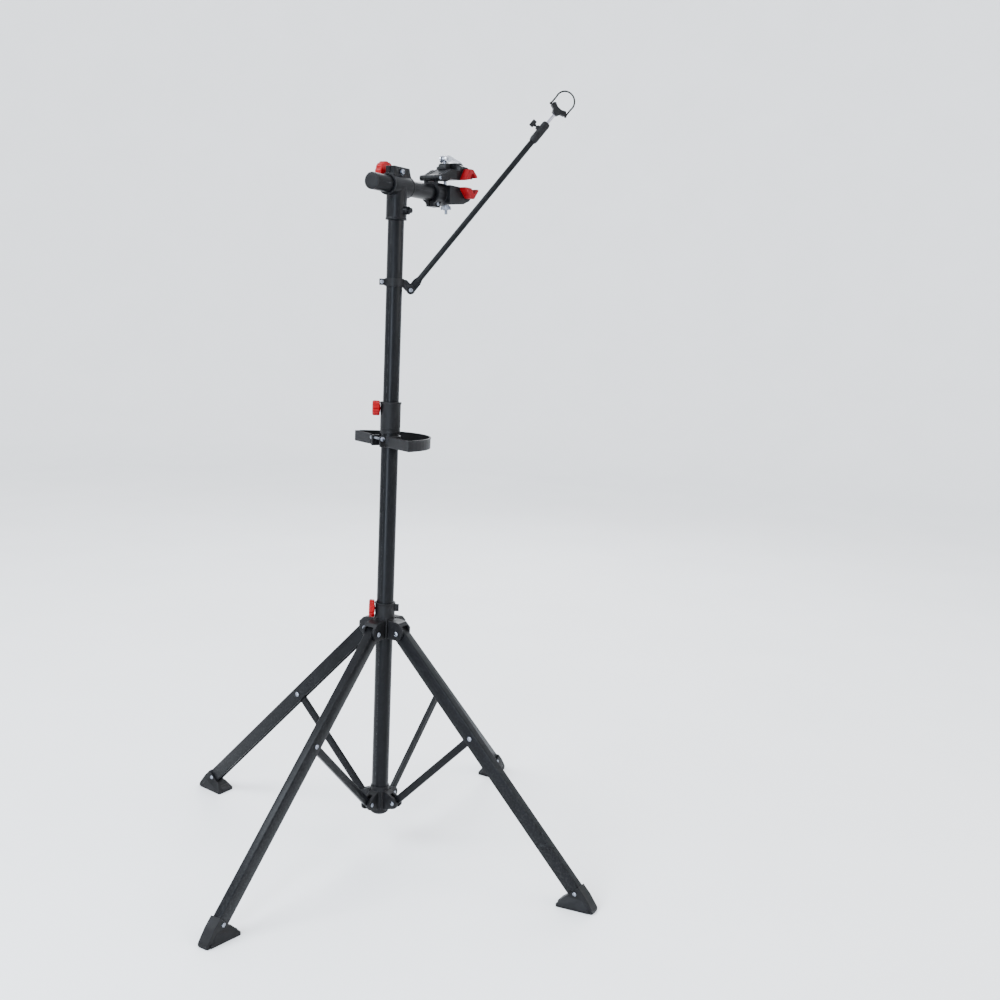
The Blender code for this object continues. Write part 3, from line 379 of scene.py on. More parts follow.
class Surface:
    """One procedural material: colour mottling, dust, worn edges, scratches and grain."""

    def __init__(self, name):
        self.material = bpy.data.materials.new(name)
        self.material.use_nodes = True
        self.tree = self.material.node_tree
        self.shader = self.tree.nodes["Principled BSDF"]
        self.place = self.tree.nodes.new("ShaderNodeTexCoord")

    def node(self, kind, **values):
        made = self.tree.nodes.new(kind)
        for key, value in values.items():
            setattr(made, key, value)
        return made

    def link(self, start, end):
        self.tree.links.new(start, end)

    def stretched(self, scale):
        mapping = self.node("ShaderNodeMapping")
        mapping.inputs["Scale"].default_value = scale
        self.link(self.place.outputs["Object"], mapping.inputs["Vector"])
        return mapping.outputs["Vector"]

    def noise(self, scale, detail=3.0, roughness=0.55, stretch=(1, 1, 1)):
        made = self.node("ShaderNodeTexNoise")
        made.inputs["Scale"].default_value = scale
        made.inputs["Detail"].default_value = detail
        made.inputs["Roughness"].default_value = roughness
        self.link(self.stretched(stretch), made.inputs["Vector"])
        return made.outputs["Fac"]

    def ranged(self, value, low, high, to_low=0.0, to_high=1.0):
        made = self.node("ShaderNodeMapRange")
        made.inputs["From Min"].default_value = low
        made.inputs["From Max"].default_value = high
        made.inputs["To Min"].default_value = to_low
        made.inputs["To Max"].default_value = to_high
        self.link(value, made.inputs["Value"])
        return made.outputs["Result"]

    def maths(self, operation, first, second):
        made = self.node("ShaderNodeMath", operation=operation)
        for socket, value in zip(made.inputs, (first, second)):
            if isinstance(value, (int, float)):
                socket.default_value = value
            else:
                self.link(value, socket)
        return made.outputs["Value"]

    def mixed(self, factor, first, second):
        made = self.node("ShaderNodeMix", data_type="RGBA")
        self.link(factor, made.inputs["Factor"])
        for socket, value in ((made.inputs["A"], first), (made.inputs["B"], second)):
            if isinstance(value, tuple):
                socket.default_value = (*value, 1)
            else:
                self.link(value, socket)
        return made.outputs["Result"]

    def scratches(self, scale, stretch, amount):
        """Thin broken lines: the narrow band where a stretched noise crosses its middle."""
        lines = self.noise(scale, 2.0, 0.5, stretch)
        near = self.maths("ABSOLUTE", self.maths("SUBTRACT", lines, 0.5), 0.0)
        thin = self.ranged(near, 0.0, 0.006, 1.0, 0.0)
        broken = self.ranged(self.noise(38.0, 2.0), 0.52, 0.66)
        return self.maths("MULTIPLY", self.maths("MULTIPLY", thin, broken), amount)

    def upward(self):
        """How far the surface faces up, at rest."""
        parts = self.node("ShaderNodeSeparateXYZ")
        self.link(self.place.outputs["Normal"], parts.inputs["Vector"])
        return self.ranged(parts.outputs["Z"], 0.35, 1.0)

    def edges(self, low, high):
        geometry = self.node("ShaderNodeNewGeometry")
        return self.ranged(geometry.outputs["Pointiness"], low, high)


def finish(
    name, colour, second, mottle, rough, grain,
    metallic=0.0, gloss=0.5, wear=None, scratch=None, dust=0.0,
):
    """A material whose colour mottles into second at the mottle scale. rough is its low and
    high; grain is scale and depth in metres; gloss is how much a non-metal reflects; wear is
    the colour that worn edges show and how much; scratch is scale, stretch, amount and colour;
    dust is how much lies on what faces up."""
    look = Surface(name)
    shader = look.shader
    shader.inputs["Metallic"].default_value = metallic
    shader.inputs["Specular IOR Level"].default_value = gloss
    clouds = look.ranged(look.noise(mottle, 4.0), 0.35, 0.65)
    paint = look.mixed(clouds, colour, second)
    smudge = look.ranged(look.noise(mottle * 0.37, 3.0, 0.6), 0.30, 0.70)
    roughness = look.ranged(smudge, 0.0, 1.0, *rough)
    fine = look.noise(grain[0], 2.0, 0.5)
    height = look.maths("MULTIPLY", fine, grain[1])
    if dust:
        patches = look.ranged(look.noise(26.0, 5.0, 0.65), 0.40, 0.75)
        powder = look.maths("MULTIPLY", look.upward(), patches)
        powder = look.maths("MULTIPLY", powder, dust)
        paint = look.mixed(powder, paint, (0.36, 0.34, 0.31))
        roughness = look.maths("ADD", roughness, look.maths("MULTIPLY", powder, 0.6))
    if scratch:
        scale, stretch, amount, bare = scratch
        lines = look.scratches(scale, stretch, amount)
        paint = look.mixed(lines, paint, bare)
        roughness = look.maths("ADD", roughness, look.maths("MULTIPLY", lines, 0.12))
        height = look.maths("SUBTRACT", height, look.maths("MULTIPLY", lines, 0.00004))
    if wear:
        bare, amount = wear
        chips = look.ranged(look.noise(210.0, 3.0, 0.7), 0.46, 0.62)
        rubbed = look.maths(
            "MULTIPLY", look.maths("MULTIPLY", look.edges(0.53, 0.62), chips), amount
        )
        paint = look.mixed(rubbed, paint, bare)
    bump = look.node("ShaderNodeBump")
    bump.inputs["Strength"].default_value = 0.6
    bump.inputs["Distance"].default_value = 1.0
    look.link(height, bump.inputs["Height"])
    look.link(paint, shader.inputs["Base Color"])
    look.link(roughness, shader.inputs["Roughness"])
    look.link(bump.outputs["Normal"], shader.inputs["Normal"])
    return look.material


LONG_WAYS = (1.0, 1.0, 0.03)
ALL_WAYS = (1.0, 0.35, 0.12)
STEEL_GREY = (0.30, 0.30, 0.31)
LOOKS = {
    "black_paint": finish(
        "black_paint", (0.0022, 0.0024, 0.0030), (0.0036, 0.0039, 0.0048),
        34.0, (0.26, 0.36), (900.0, 0.000006), gloss=0.10, wear=(STEEL_GREY, 0.12),
        scratch=(120.0, LONG_WAYS, 0.25, (0.030, 0.030, 0.034)), dust=0.008,
    ),
    "head_paint": finish(
        "head_paint", (0.0024, 0.0025, 0.0030), (0.0040, 0.0041, 0.0050),
        60.0, (0.30, 0.44), (700.0, 0.000040), gloss=0.11, wear=(STEEL_GREY, 0.14),
        scratch=(150.0, ALL_WAYS, 0.25, (0.035, 0.035, 0.040)), dust=0.010,
    ),
    "black_plastic": finish(
        "black_plastic", (0.0036, 0.0036, 0.0040), (0.0062, 0.0062, 0.0070),
        45.0, (0.38, 0.54), (1400.0, 0.000040), gloss=0.13, wear=((0.06, 0.06, 0.06), 0.35),
        scratch=(140.0, ALL_WAYS, 0.3, (0.045, 0.045, 0.045)), dust=0.025,
    ),
    "red_plastic": finish(
        "red_plastic", (0.25, 0.0003, 0.0030), (0.19, 0.0002, 0.0026),
        50.0, (0.24, 0.36), (500.0, 0.000016),
        gloss=0.13, wear=((0.30, 0.008, 0.010), 0.4),
        scratch=(150.0, ALL_WAYS, 0.25, (0.30, 0.010, 0.012)), dust=0.01,
    ),
    "red_rubber": finish(
        "red_rubber", (0.19, 0.0004, 0.0032), (0.14, 0.0003, 0.0028),
        95.0, (0.46, 0.64), (800.0, 0.000060),
        gloss=0.10, wear=((0.20, 0.006, 0.010), 0.4), dust=0.01,
    ),
    "black_rubber": finish(
        "black_rubber", (0.0070, 0.0070, 0.0070), (0.0130, 0.0125, 0.0120),
        80.0, (0.55, 0.75), (1100.0, 0.000050), gloss=0.15, dust=0.02,
    ),
    "zinc": finish(
        "zinc", (0.22, 0.24, 0.28), (0.16, 0.17, 0.20),
        130.0, (0.20, 0.38), (800.0, 0.000020), metallic=1.0,
        scratch=(260.0, ALL_WAYS, 0.5, (0.40, 0.40, 0.42)),
    ),
    "chrome": finish(
        "chrome", (0.50, 0.51, 0.54), (0.42, 0.43, 0.46),
        60.0, (0.07, 0.17), (300.0, 0.000006), metallic=1.0,
        scratch=(220.0, ALL_WAYS, 0.4, (0.55, 0.55, 0.57)),
    ),
    "steel_rod": finish(
        "steel_rod", (0.34, 0.33, 0.38), (0.26, 0.26, 0.29),
        90.0, (0.20, 0.32), (900.0, 0.000014), metallic=1.0,
        scratch=(240.0, LONG_WAYS, 0.6, (0.34, 0.34, 0.36)),
    ),
}


def piece(name, bm, nodes=(), body=None, slot=None, sharp=40):
    """Adds a finished piece that rides on its nodes' body and stands for them."""
    nodes = [nodes] if isinstance(nodes, str) else list(nodes)
    body = body or BODY_OF[nodes[0]]
    slot = slot or SLOT_OF[nodes[0]]
    mesh = bpy.data.meshes.new(name)
    bmesh.ops.remove_doubles(bm, verts=bm.verts, dist=WELD)
    faced_out(bm).to_mesh(mesh)
    bm.free()
    mesh.materials.append(LOOKS[slot])
    mesh.shade_smooth()
    mesh.set_sharp_from_angle(angle=math.radians(sharp))
    obj = bpy.data.objects.new(name, mesh)
    bpy.context.scene.collection.objects.link(obj)
    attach(obj, body)
    if nodes:
        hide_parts(*nodes)
    return obj


def cast(name, node, voxel=0.0006, rounds=6, keep=0.4, extras=(), cuts=()):
    """A CAD solid with its extra ribs and cuts, as one piece with soft edges."""
    bm = cut(cad_solid(node), *cuts)
    bm = pooled(bm, *extras)
    return piece(name, skinned(bm, voxel, rounds, keep), node, sharp=70)


# Tubes


def add_tubes():
    low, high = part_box("lower_post")
    radius = (high.x - low.x) / 2
    tube = rounded_pipe(radius, radius - TUBE_WALL, low.z, high.z, TUBE_EDGE)
    piece("post_tube", tube, "lower_post")
    low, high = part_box("mast")
    radius = (high.x - low.x) / 2
    tube = rounded_pipe(radius, radius - TUBE_WALL, low.z, high.z, TUBE_EDGE)
    piece("mast_tube", tube, "mast")
    low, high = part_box("head_tube")
    radius = (high.z - low.z) / 2
    axis_z = (high.z + low.z) / 2
    tube = turned_to_x(rounded_pipe(radius, radius - TUBE_WALL, low.x, high.x, TUBE_EDGE))
    piece("cross_tube", shifted(tube, z=axis_z), "head_tube")
    back, front = (corner.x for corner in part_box("head_tube_cap"))
    shoulder = back + 0.0042
    plug = radius - TUBE_WALL - SLIDE_GAP
    profile = [(0, back + 0.0004), (0.0090, back)] + round_corner(radius, back, 0.0018, 0)
    profile += [(radius, shoulder), (plug, shoulder), (plug, front), (0, front)]
    piece("cross_tube_cap", shifted(turned_to_x(lathe(profile)), z=axis_z), "head_tube_cap")


def add_post_collar():
    """The guide sleeve: a rounded rim, two grooves and a chamfered skirt."""
    low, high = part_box("post_collar")
    rim = (high.x - low.x) / 2
    outer = rim - 0.0011
    tube = (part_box("lower_post")[1].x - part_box("lower_post")[0].x) / 2 + SLIDE_GAP
    mast = (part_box("mast")[1].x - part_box("mast")[0].x) / 2 + SLIDE_GAP
    profile = [(tube, low.z)] + round_corner(outer, low.z, 0.0008, 0)
    for groove in (low.z + 0.006, low.z + 0.0095):
        profile += [(outer, groove), (outer - 0.0006, groove + 0.0006)]
        profile += [(outer - 0.0006, groove + 0.0012), (outer, groove + 0.0018)]
    profile += [(outer, high.z - 0.0055), (outer + 0.0004, high.z - 0.0048)]
    profile += round_corner(rim, high.z - 0.0044, 0.0006, 0) + round_corner(rim, high.z, 0.0009, 1)
    profile += round_corner(mast, high.z, 0.0006, 2)
    profile += [(mast, high.z - 0.0045), (tube, high.z - 0.0047)]
    piece("collar_sleeve", lathe(profile, 72), "post_collar")


# Rivets, bolts and knobs


def domed_rivet(low, high, shank, head_radius, head_height):
    """A rivet along Z whose heads' undersides are at low and high: the upper head is
    domed, and the lower one is rolled over with a dimple."""

    def crown(sign, seat, dimple):
        points = [(shank, seat), (head_radius * 0.97, seat)]
        points.append((head_radius, seat + sign * 0.18 * head_height))
        for step in range(1, 7):
            angle = math.radians(90 * step / 7)
            rise = sign * head_height * (0.18 + 0.82 * math.sin(angle))
            points.append((head_radius * math.cos(angle), seat + rise))
        top = seat + sign * head_height
        if dimple:
            points = points[:-2] + [(0.45 * head_radius, top)]
            points.append((0.30 * head_radius, top - sign * 0.35 * head_height))
            top -= sign * 0.42 * head_height
        return points + [(0, top)]

    lower = crown(-1, low, True)
    upper = crown(1, high, False)
    return lathe(lower[::-1] + upper, 32)


def add_rivets():
    for side in SIDES:
        axis = joint_axis("leg_fold" if side == "front" else f"strut_{side}_swing")
        for prefix, head_height in PIN_HEADS:
            node = f"{prefix}_{side}"
            at = centre(node)
            low, high = span(node, at, axis)
            radius = span(node, at, Z)[1]
            rivet = domed_rivet(low + head_height, high - head_height, 0.0030, radius, head_height)
            piece(f"{node}_rivet", moved(rivet, stand_along(at, axis)), node)


def hex_prism(radius, bottom, top, chamfer=0.0006):
    """A hexagon with its corners turned off, as on a nut or a bolt's head."""
    prism = rod(radius, bottom, top, 6)
    cone = [(0, bottom)] + [(radius * 0.90, bottom), (radius * 1.01, bottom + chamfer)]
    cone += [(radius * 1.01, top - chamfer), (radius * 0.90, top), (0, top)]
    return combined(prism, lathe(cone, 36), "INTERSECT")


def socket_head(radius, seat, top):
    """A button head with a hexagon socket. top may be above or below seat."""
    up = 1 if top > seat else -1
    height = abs(top - seat)
    profile = [(0, 0), (radius * 0.96, 0), (radius, 0.12 * height)]
    for step in range(1, 6):
        angle = math.radians(step * 15)
        r = radius * (0.55 + 0.45 * math.cos(angle))
        profile.append((r, height * (0.25 + 0.75 * math.sin(angle))))
    profile.append((0.50 * radius, height))
    profile.append((0, height))
    head = lathe(profile, 40)
    socket = rod(radius * 0.46, height * 0.45, height * 1.5, 6)
    head = cut(head, socket)
    if up < 0:
        head = moved(head, Matrix.Rotation(math.pi, 4, "X"))
    return shifted(head, z=seat)


def thread(radius, bottom, top, pitch=0.0010, depth=0.00035, segments=28):
    """A threaded length, as rings at the thread's pitch."""
    profile = [(0, bottom), (radius - depth, bottom)]
    count = max(1, int((top - bottom) / pitch))
    step = (top - bottom) / count
    for index in range(count):
        z = bottom + index * step
        profile += [(radius - depth, z + 0.15 * step), (radius, z + 0.5 * step)]
        profile += [(radius - depth, z + 0.85 * step)]
    profile += [(radius - depth, top), (0, top)]
    return lathe(profile, segments)


def add_bolt(name, node, axis, head_radius, shank, seats, nut=True, washers=True):
    """A socket-head bolt through two faces, with washers, and a nut on its far end."""
    at = centre(node)
    low, high = span(node, at, axis)
    near, far = seats[0], seats[1]
    parts = [rod(shank, near - 0.0005, far + 0.0002, 24)]
    head_seat = near
    if washers:
        rim = head_radius * 1.10
        washer = [(shank, near), (rim, near), (rim, near - WASHER), (shank, near - WASHER)]
        parts.append(lathe(washer, 40))
        head_seat = near - WASHER
    parts.append(socket_head(head_radius * 0.98, head_seat + 0.00001, low))
    if nut:
        parts.append(hex_prism(head_radius, far, min(high - 0.0004, far + 0.0042)))
    if nut or high > far + 0.0004:
        parts.append(thread(shank, far - 0.001, high))
    bolt = joined(*parts)
    piece(name, moved(bolt, stand_along(at, axis)), node)


def add_knob(name, node, joint, radius, thickness, flutes, depth):
    """A moulded grip with scalloped sides, a dished face and a turned stem. It returns the
    knob's origin and axis, and the heights of its lowest point, its face and its stem's foot."""
    origin, axis = joint_at(joint), joint_axis(joint)
    low, high = span(node, origin, axis)
    side_knob = joint != "tee_knob_turn"
    if side_knob:
        high -= SIDE_KNOB_SHIFT
    back = high - thickness
    edge = min(0.0032, thickness * 0.26)
    stem = 0.0083
    foot = stem_foot(node, origin, axis, stem) if side_knob else low
    profile = [(0, foot), (stem * 0.92, foot), (stem, foot + 0.0006)]
    profile += [(stem, back - 0.0002), (stem + 0.0020, back)]
    profile += arc(radius - edge, back + edge, edge, -90, 0, 6)
    profile += arc(radius - edge, high - edge, edge, 0, 90, 6)
    profile += [(radius * 0.62, high), (radius * 0.56, high - 0.0007)]
    profile += [(radius * 0.40, high - 0.0010)]
    if side_knob:
        profile += [(radius * 0.20, high - 0.0008), (0, high - 0.0007)]
    else:
        profile += [(radius * 0.25, high - 0.0010), (0.0062, high - 0.0006)]
        profile += [(0.0060, high - 0.0030), (0, high - 0.0030)]
    grip = lathe(profile, 120, flutes, depth, (back + 0.0002, high - 0.00005))
    place = stand_along(origin, axis)
    piece(f"{name}_grip", moved(grip, place), node)
    return origin, axis, low, high, foot


def stem_foot(node, origin, axis, stem):
    """Where a knob's stem starts: the lowest of its points that lie out beyond the stud."""
    lowest = None
    for vertex in frame["nodes"][node].data.vertices:
        offset = vertex.co - origin
        along = offset.dot(axis)
        if (offset - along * axis).length > 0.75 * stem:
            lowest = along if lowest is None else min(lowest, along)
    return lowest


def add_knobs():
    for name, node, joint, radius, thickness, flutes in (
        ("hub_knob", "hub_knob", "hub_knob_turn", 0.0195, 0.012, 9),
        ("collar_knob", "collar_knob", "collar_knob_turn", 0.0160, 0.016, 12),
    ):
        origin, axis, low, _, foot = add_knob(
            name, node, joint, radius, thickness, flutes, 0.0020
        )
        stud = thread(0.0030, low, foot + 0.001, 0.0008)
        stud_piece = moved(stud, stand_along(origin, axis))
        piece(f"{name}_stud", stud_piece, (), BODY_OF[node], "zinc")
    origin, axis, _, high, _ = add_knob(
        "tee_knob", "tee_knob", "tee_knob_turn", 0.0228, 0.0175, 9, 0.0022
    )
    profile = [(0.0034, high - 0.0029), (0.0058, high - 0.0029), (0.0058, high - 0.0010)]
    profile += [(0.0052, high - 0.0005), (0.0034, high - 0.0005)]
    insert = moved(lathe(profile, 6), stand_along(origin, axis))
    piece("tee_knob_insert", insert, (), BODY_OF["tee_knob"], "zinc")


def add_bolts():
    tray_axis = turned(Y, TRAY_TURN)
    add_bolt("tray_clamp_bolt", "tray_bolt", tray_axis, 0.0048, 0.0025, tray_seats(tray_axis))
    tee = centre("tee_bolt")
    reach = span("tee_bolt", tee, Y)
    seat = -0.0113 - tee.y
    add_bolt("tee_clamp_bolt", "tee_bolt", Y, 0.0055, 0.0030, (seat, reach[1]), nut=False)
    pin = centre("jaw_pin")
    seats = (-0.0253 - pin.y, span("jaw_pin", pin, Y)[1])
    add_bolt("jaw_hinge_pin", "jaw_pin", Y, 0.0040, 0.0025, seats, nut=False, washers=False)
    collar = centre("collar_bolt")
    seats = (-0.0093 - collar.y, 0.0093 - collar.y)
    add_bolt("clamp_collar_bolt", "collar_bolt", Y, 0.0046, 0.0025, seats, washers=False)
    across = joint_axis("arm_tilt")
    for name, node, half in (
        ("band_clamp_bolt", "band_bolt", 0.0063),
        ("arm_pivot_screw", "arm_pivot_bolt", 0.0083),
    ):
        middle = centre(node).dot(across)
        seats = (-half - middle, half - middle)
        add_bolt(name, node, across, 0.0045, 0.0025, seats, washers=False)
    screw = centre("tee_screw")
    low, high = span("tee_screw", screw, Y)
    seat = -0.0318 - screw.y
    body = joined(rod(0.0030, seat - 0.0005, high, 24), hex_prism(0.0060, low, seat))
    piece("tee_set_screw", moved(body, stand_along(screw, Y)), "tee_screw")


def turned(vector, angle):
    return Matrix.Rotation(angle, 3, "Z") @ vector


def tray_seats(axis):
    """The outer faces of the tray's two ears, from the bolt's centre."""
    middle = centre("tray_bolt").dot(axis)
    return -0.0143 - middle, 0.0263 - middle


# Legs


def side_frame(side, joint, lean):
    """The frame of a link: its origin on the joint, Z along the link, X outwards and
    Y along the pivot."""
    azimuth = Matrix.Rotation(math.radians(SIDES[side]), 4, "Z")
    return Matrix.Translation(joint_at(joint)) @ azimuth @ Matrix.Rotation(lean, 4, "Y")


def add_links():
    base = joint_at("leg_fold")
    elbow = joint_at("leg_front_swing")
    rise = elbow - base
    link = rise.length
    spread = math.atan2(rise.x, rise.z)
    leg_axis = side_frame("front", "leg_front_swing", -spread).col[2].xyz
    leg_low, _ = span("leg_front", elbow, leg_axis)
    for side in SIDES:
        fold = "leg_fold" if side == "front" else f"strut_{side}_swing"
        place = side_frame(side, fold, spread)
        bar = slab(arc(0, 0, 0.0080, 180, 360, 24) + arc(0, link, 0.0080, 0, 180, 24), 0.00425)
        bar = bevelled(bar, 0.0009, 3)
        spacer = shifted(turned_to_y(rounded_rod(0.0062, -0.0074, 0.0074, 0.0004)), z=link)
        piece(f"strut_{side}_bar", moved(joined(bar, spacer), place), f"strut_{side}")
        place = side_frame(side, f"leg_{side}_swing", -spread)
        piece(f"leg_{side}_channel", moved(folded_leg(link, leg_low), place), f"leg_{side}")
        rivet_at = place @ Vector((0, 0, leg_low + FOOT_RIVET_RISE))
        add_foot(side, place, rivet_at)


def folded_leg(link, bottom):
    """A pressed channel: a U section with bent corners, rounded at the hub and cut square at the foot."""
    depth, width, wall, bend = 0.015, 0.0095, 0.0018, 0.0032
    outer = [(-depth, -width)] + arc(depth - bend, -width + bend, bend, -90, 0, 5)
    outer += arc(depth - bend, width - bend, bend, 0, 90, 5) + [(-depth, width)]
    tight = bend - wall
    inner_x, inner_y = depth - wall, width - wall
    inner = [(-depth, inner_y)] + arc(inner_x - tight, inner_y - tight, tight, 90, 0, 4)
    inner += arc(inner_x - tight, -inner_y + tight, tight, 0, -90, 4) + [(-depth, -inner_y)]
    channel = plate(outer + inner, bottom, link + depth)
    shape = [(-depth - 0.001, bottom)] + [(depth + 0.001, bottom)]
    shape += arc(0, link, depth + 0.00001, 0, 180, 28)
    shape[2] = (depth + 0.001, link)
    shape[-1] = (-depth - 0.001, link)
    channel = combined(channel, slab(shape, 0.03), "INTERSECT")
    return bevelled(channel, 0.0004, 2, 50)


def add_foot(side, place, rivet_at):
    """A moulded shoe with ribs on its heel and a lip along each side, and its rivet."""
    node = f"foot_{side}"
    across = (place.to_3x3() @ Y).normalized()
    outward = turned(X, math.radians(SIDES[side]))
    level = stand_along(Vector((rivet_at.x, rivet_at.y, 0)), Z, outward)
    ribs = []
    for x in (-0.029, -0.024):
        top = 0.0157 - (x + 0.029) * -0.7
        rib = block((x - 0.0009, x + 0.0009), (-0.0105, 0.0105), (0.008, top))
        ribs.append(moved(rib, level))
    for edge in (-1, 1):
        y = edge * 0.0148
        lip = block((-0.030, 0.034), (y - 0.0009, y + 0.0009), (0.0010, 0.0075))
        ribs.append(moved(lip, level))
    cast(f"foot_{side}_shoe", node, 0.0006, 7, 0.35, extras=ribs)
    half = 0.0128
    rivet = domed_rivet(-half, half, 0.0028, 0.0046, 0.0022)
    rivet = moved(rivet, stand_along(rivet_at, across))
    piece(f"foot_{side}_rivet", rivet, (), BODY_OF[node], "zinc")


# Hubs and tray


def gussets(reach, bottom, top, thickness):
    made = []
    for step in range(4):
        web = block((0.0190, reach), (-thickness, thickness), (bottom, top))
        made.append(spun(web, math.radians(45 + 90 * step)))
    return made


def add_hubs():
    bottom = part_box("upper_hub")[0].z
    webs = gussets(0.0262, bottom + 0.0005, bottom + 0.040, 0.0015)
    cast("slide_hub", "upper_hub", 0.0006, 6, 0.4, extras=webs)
    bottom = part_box("base_hub")[0].z
    webs = gussets(0.0245, bottom + 0.014, bottom + 0.054, 0.0013)
    cast("foot_hub", "base_hub", 0.0005, 6, 0.4, extras=webs)


def add_tray():
    """The tray, with a bead round its rim and low ribs across its floor."""
    bead = arc(TRAY_CENTRE, 0, TRAY_RADIUS + 0.0009, -80, 80, 60)
    bead += arc(TRAY_CENTRE, 0, TRAY_RADIUS - TRAY_WALL - 0.0006, 80, -80, 60)
    extras = [spun(plate(bead, TRAY_RIM_Z - 0.0024, TRAY_RIM_Z + 0.0002), TRAY_TURN)]
    reach = (0.026 - TRAY_CENTRE, TRAY_RADIUS - 0.002)
    heights = (TRAY_FLOOR_Z - 0.001, TRAY_FLOOR_Z + 0.0009)
    for angle in (-52, -26, 0, 26, 52):
        rib = block(reach, (-0.0008, 0.0008), heights)
        rib = shifted(spun(rib, math.radians(angle)), x=TRAY_CENTRE)
        extras.append(spun(rib, TRAY_TURN))
    cast("tool_tray", "tray", 0.0008, 4, 0.4, extras=extras)


# Head and clamp


def add_head():
    """The cast tee, with ridges on its ears and a rounded ring at each of its three mouths."""
    head_z = joint_at("clamp_turn").z
    heights = (head_z + 0.012, head_z + 0.0350)
    ridges = []
    for x in (-0.0215, -0.0165, -0.0115, 0.0115, 0.0165, 0.0215, 0.0265):
        for edge in (-1, 1):
            y = edge * 0.0107
            ridges.append(block((x - 0.0009, x + 0.0009), (y - 0.0009, y + 0.0009), heights))
    rings = []
    for x in (-0.0335, 0.0335):
        ring = rounded_pipe(0.0222, 0.0186, -0.0015, 0.0015, 0.0006)
        rings.append(shifted(turned_to_x(ring), x=x, z=head_z))
    low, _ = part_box("head_tee")
    skirt = shifted(rounded_pipe(0.0222, 0.0186, 0, 0.0040, 0.0008), z=low.z)
    cast("mast_tee", "head_tee", 0.0006, 5, 0.4, extras=ridges + rings + [skirt])


def ribs_at(outline, places, half_thickness, z):
    """One rib of an (x, z) outline at each of the y places, raised by z."""
    made = []
    for y in places:
        rib = side_plate(outline, y - half_thickness, y + half_thickness)
        made.append(shifted(rib, z=z))
    return made


def add_clamp():
    """The two jaws with their ribs, the pads, the cam lever, the draw bolt and its wing nut."""
    head_z = joint_at("clamp_turn").z
    side_rib = [(0.1500, -0.0165), (0.1500, 0.0180), (0.1700, 0.0180), (0.1560, -0.0165)]
    front_rib = [(0.2290, -0.0085), (0.2462, 0.0105), (0.2462, 0.0180)]
    front_rib += [(0.2440, 0.0180), (0.2440, 0.0110), (0.2280, -0.0070)]
    ribs = ribs_at(side_rib, (-0.0240, 0.0240), 0.0010, head_z)
    ribs += ribs_at(front_rib, (-0.020, -0.0067, 0.0067, 0.020), 0.0010, head_z)
    cast("jaw_lower", "lower_jaw", 0.0006, 5, 0.4, extras=ribs)
    tail_rib = [(0.1255, 0.0350), (0.1300, 0.0398), (0.1590, 0.0535)]
    tail_rib += [(0.1590, 0.0500), (0.1300, 0.0350)]
    ribs = ribs_at(tail_rib, (-0.0205, -0.0128, 0.0128, 0.0205), 0.0009, head_z)
    crown = [(0.1880, 0.0600), (0.1910, 0.0690), (0.1970, 0.0712)]
    crown += [(0.2060, 0.0712), (0.2225, 0.0645)]
    crown += [(0.2380, 0.0510), (0.2380, 0.0480), (0.2190, 0.0610), (0.2010, 0.0620)]
    ribs.append(shifted(slab(crown, 0.0225), z=head_z))
    cast("jaw_upper", "upper_jaw", 0.0006, 6, 0.4, extras=ribs)
    cast("cam_seat", "cam_saddle", 0.0004, 4, 0.5)
    cast("pad_lower", "lower_pad", 0.0006, 4, 0.4)
    cast("pad_upper", "upper_pad", 0.0006, 4, 0.4)
    cast("lever_cam", "cam_lever", 0.00035, 5, 0.4)
    cast("wing_nut", "tension_nut", 0.00035, 4, 0.5)
    origin, axis = joint_at("clamp_bolt_swing"), -joint_axis("tension_nut_turn")
    low, high = span("clamp_bolt", origin, axis)
    shank = joined(
        rounded_rod(0.0035, low + 0.045, 0, 0.0003, 32),
        thread(0.0035, low, low + 0.046, 0.00125, 0.00045, 32),
        turned_to_y(rounded_rod(0.0055, -0.0045, 0.0045, 0.0005, 32)),
    )
    shank = cut(shank, turned_to_y(rod(0.0033, -0.02, 0.02, 32)))
    piece("draw_bolt", moved(shank, stand_along(origin, axis, X)), "clamp_bolt")
    low, high = span("lever_pin", origin, Y)
    pin = rounded_rod(0.0030, low, high, 0.0006, 32)
    piece("cam_pin", moved(pin, stand_along(origin, Y)), "lever_pin")


# Steadying arm


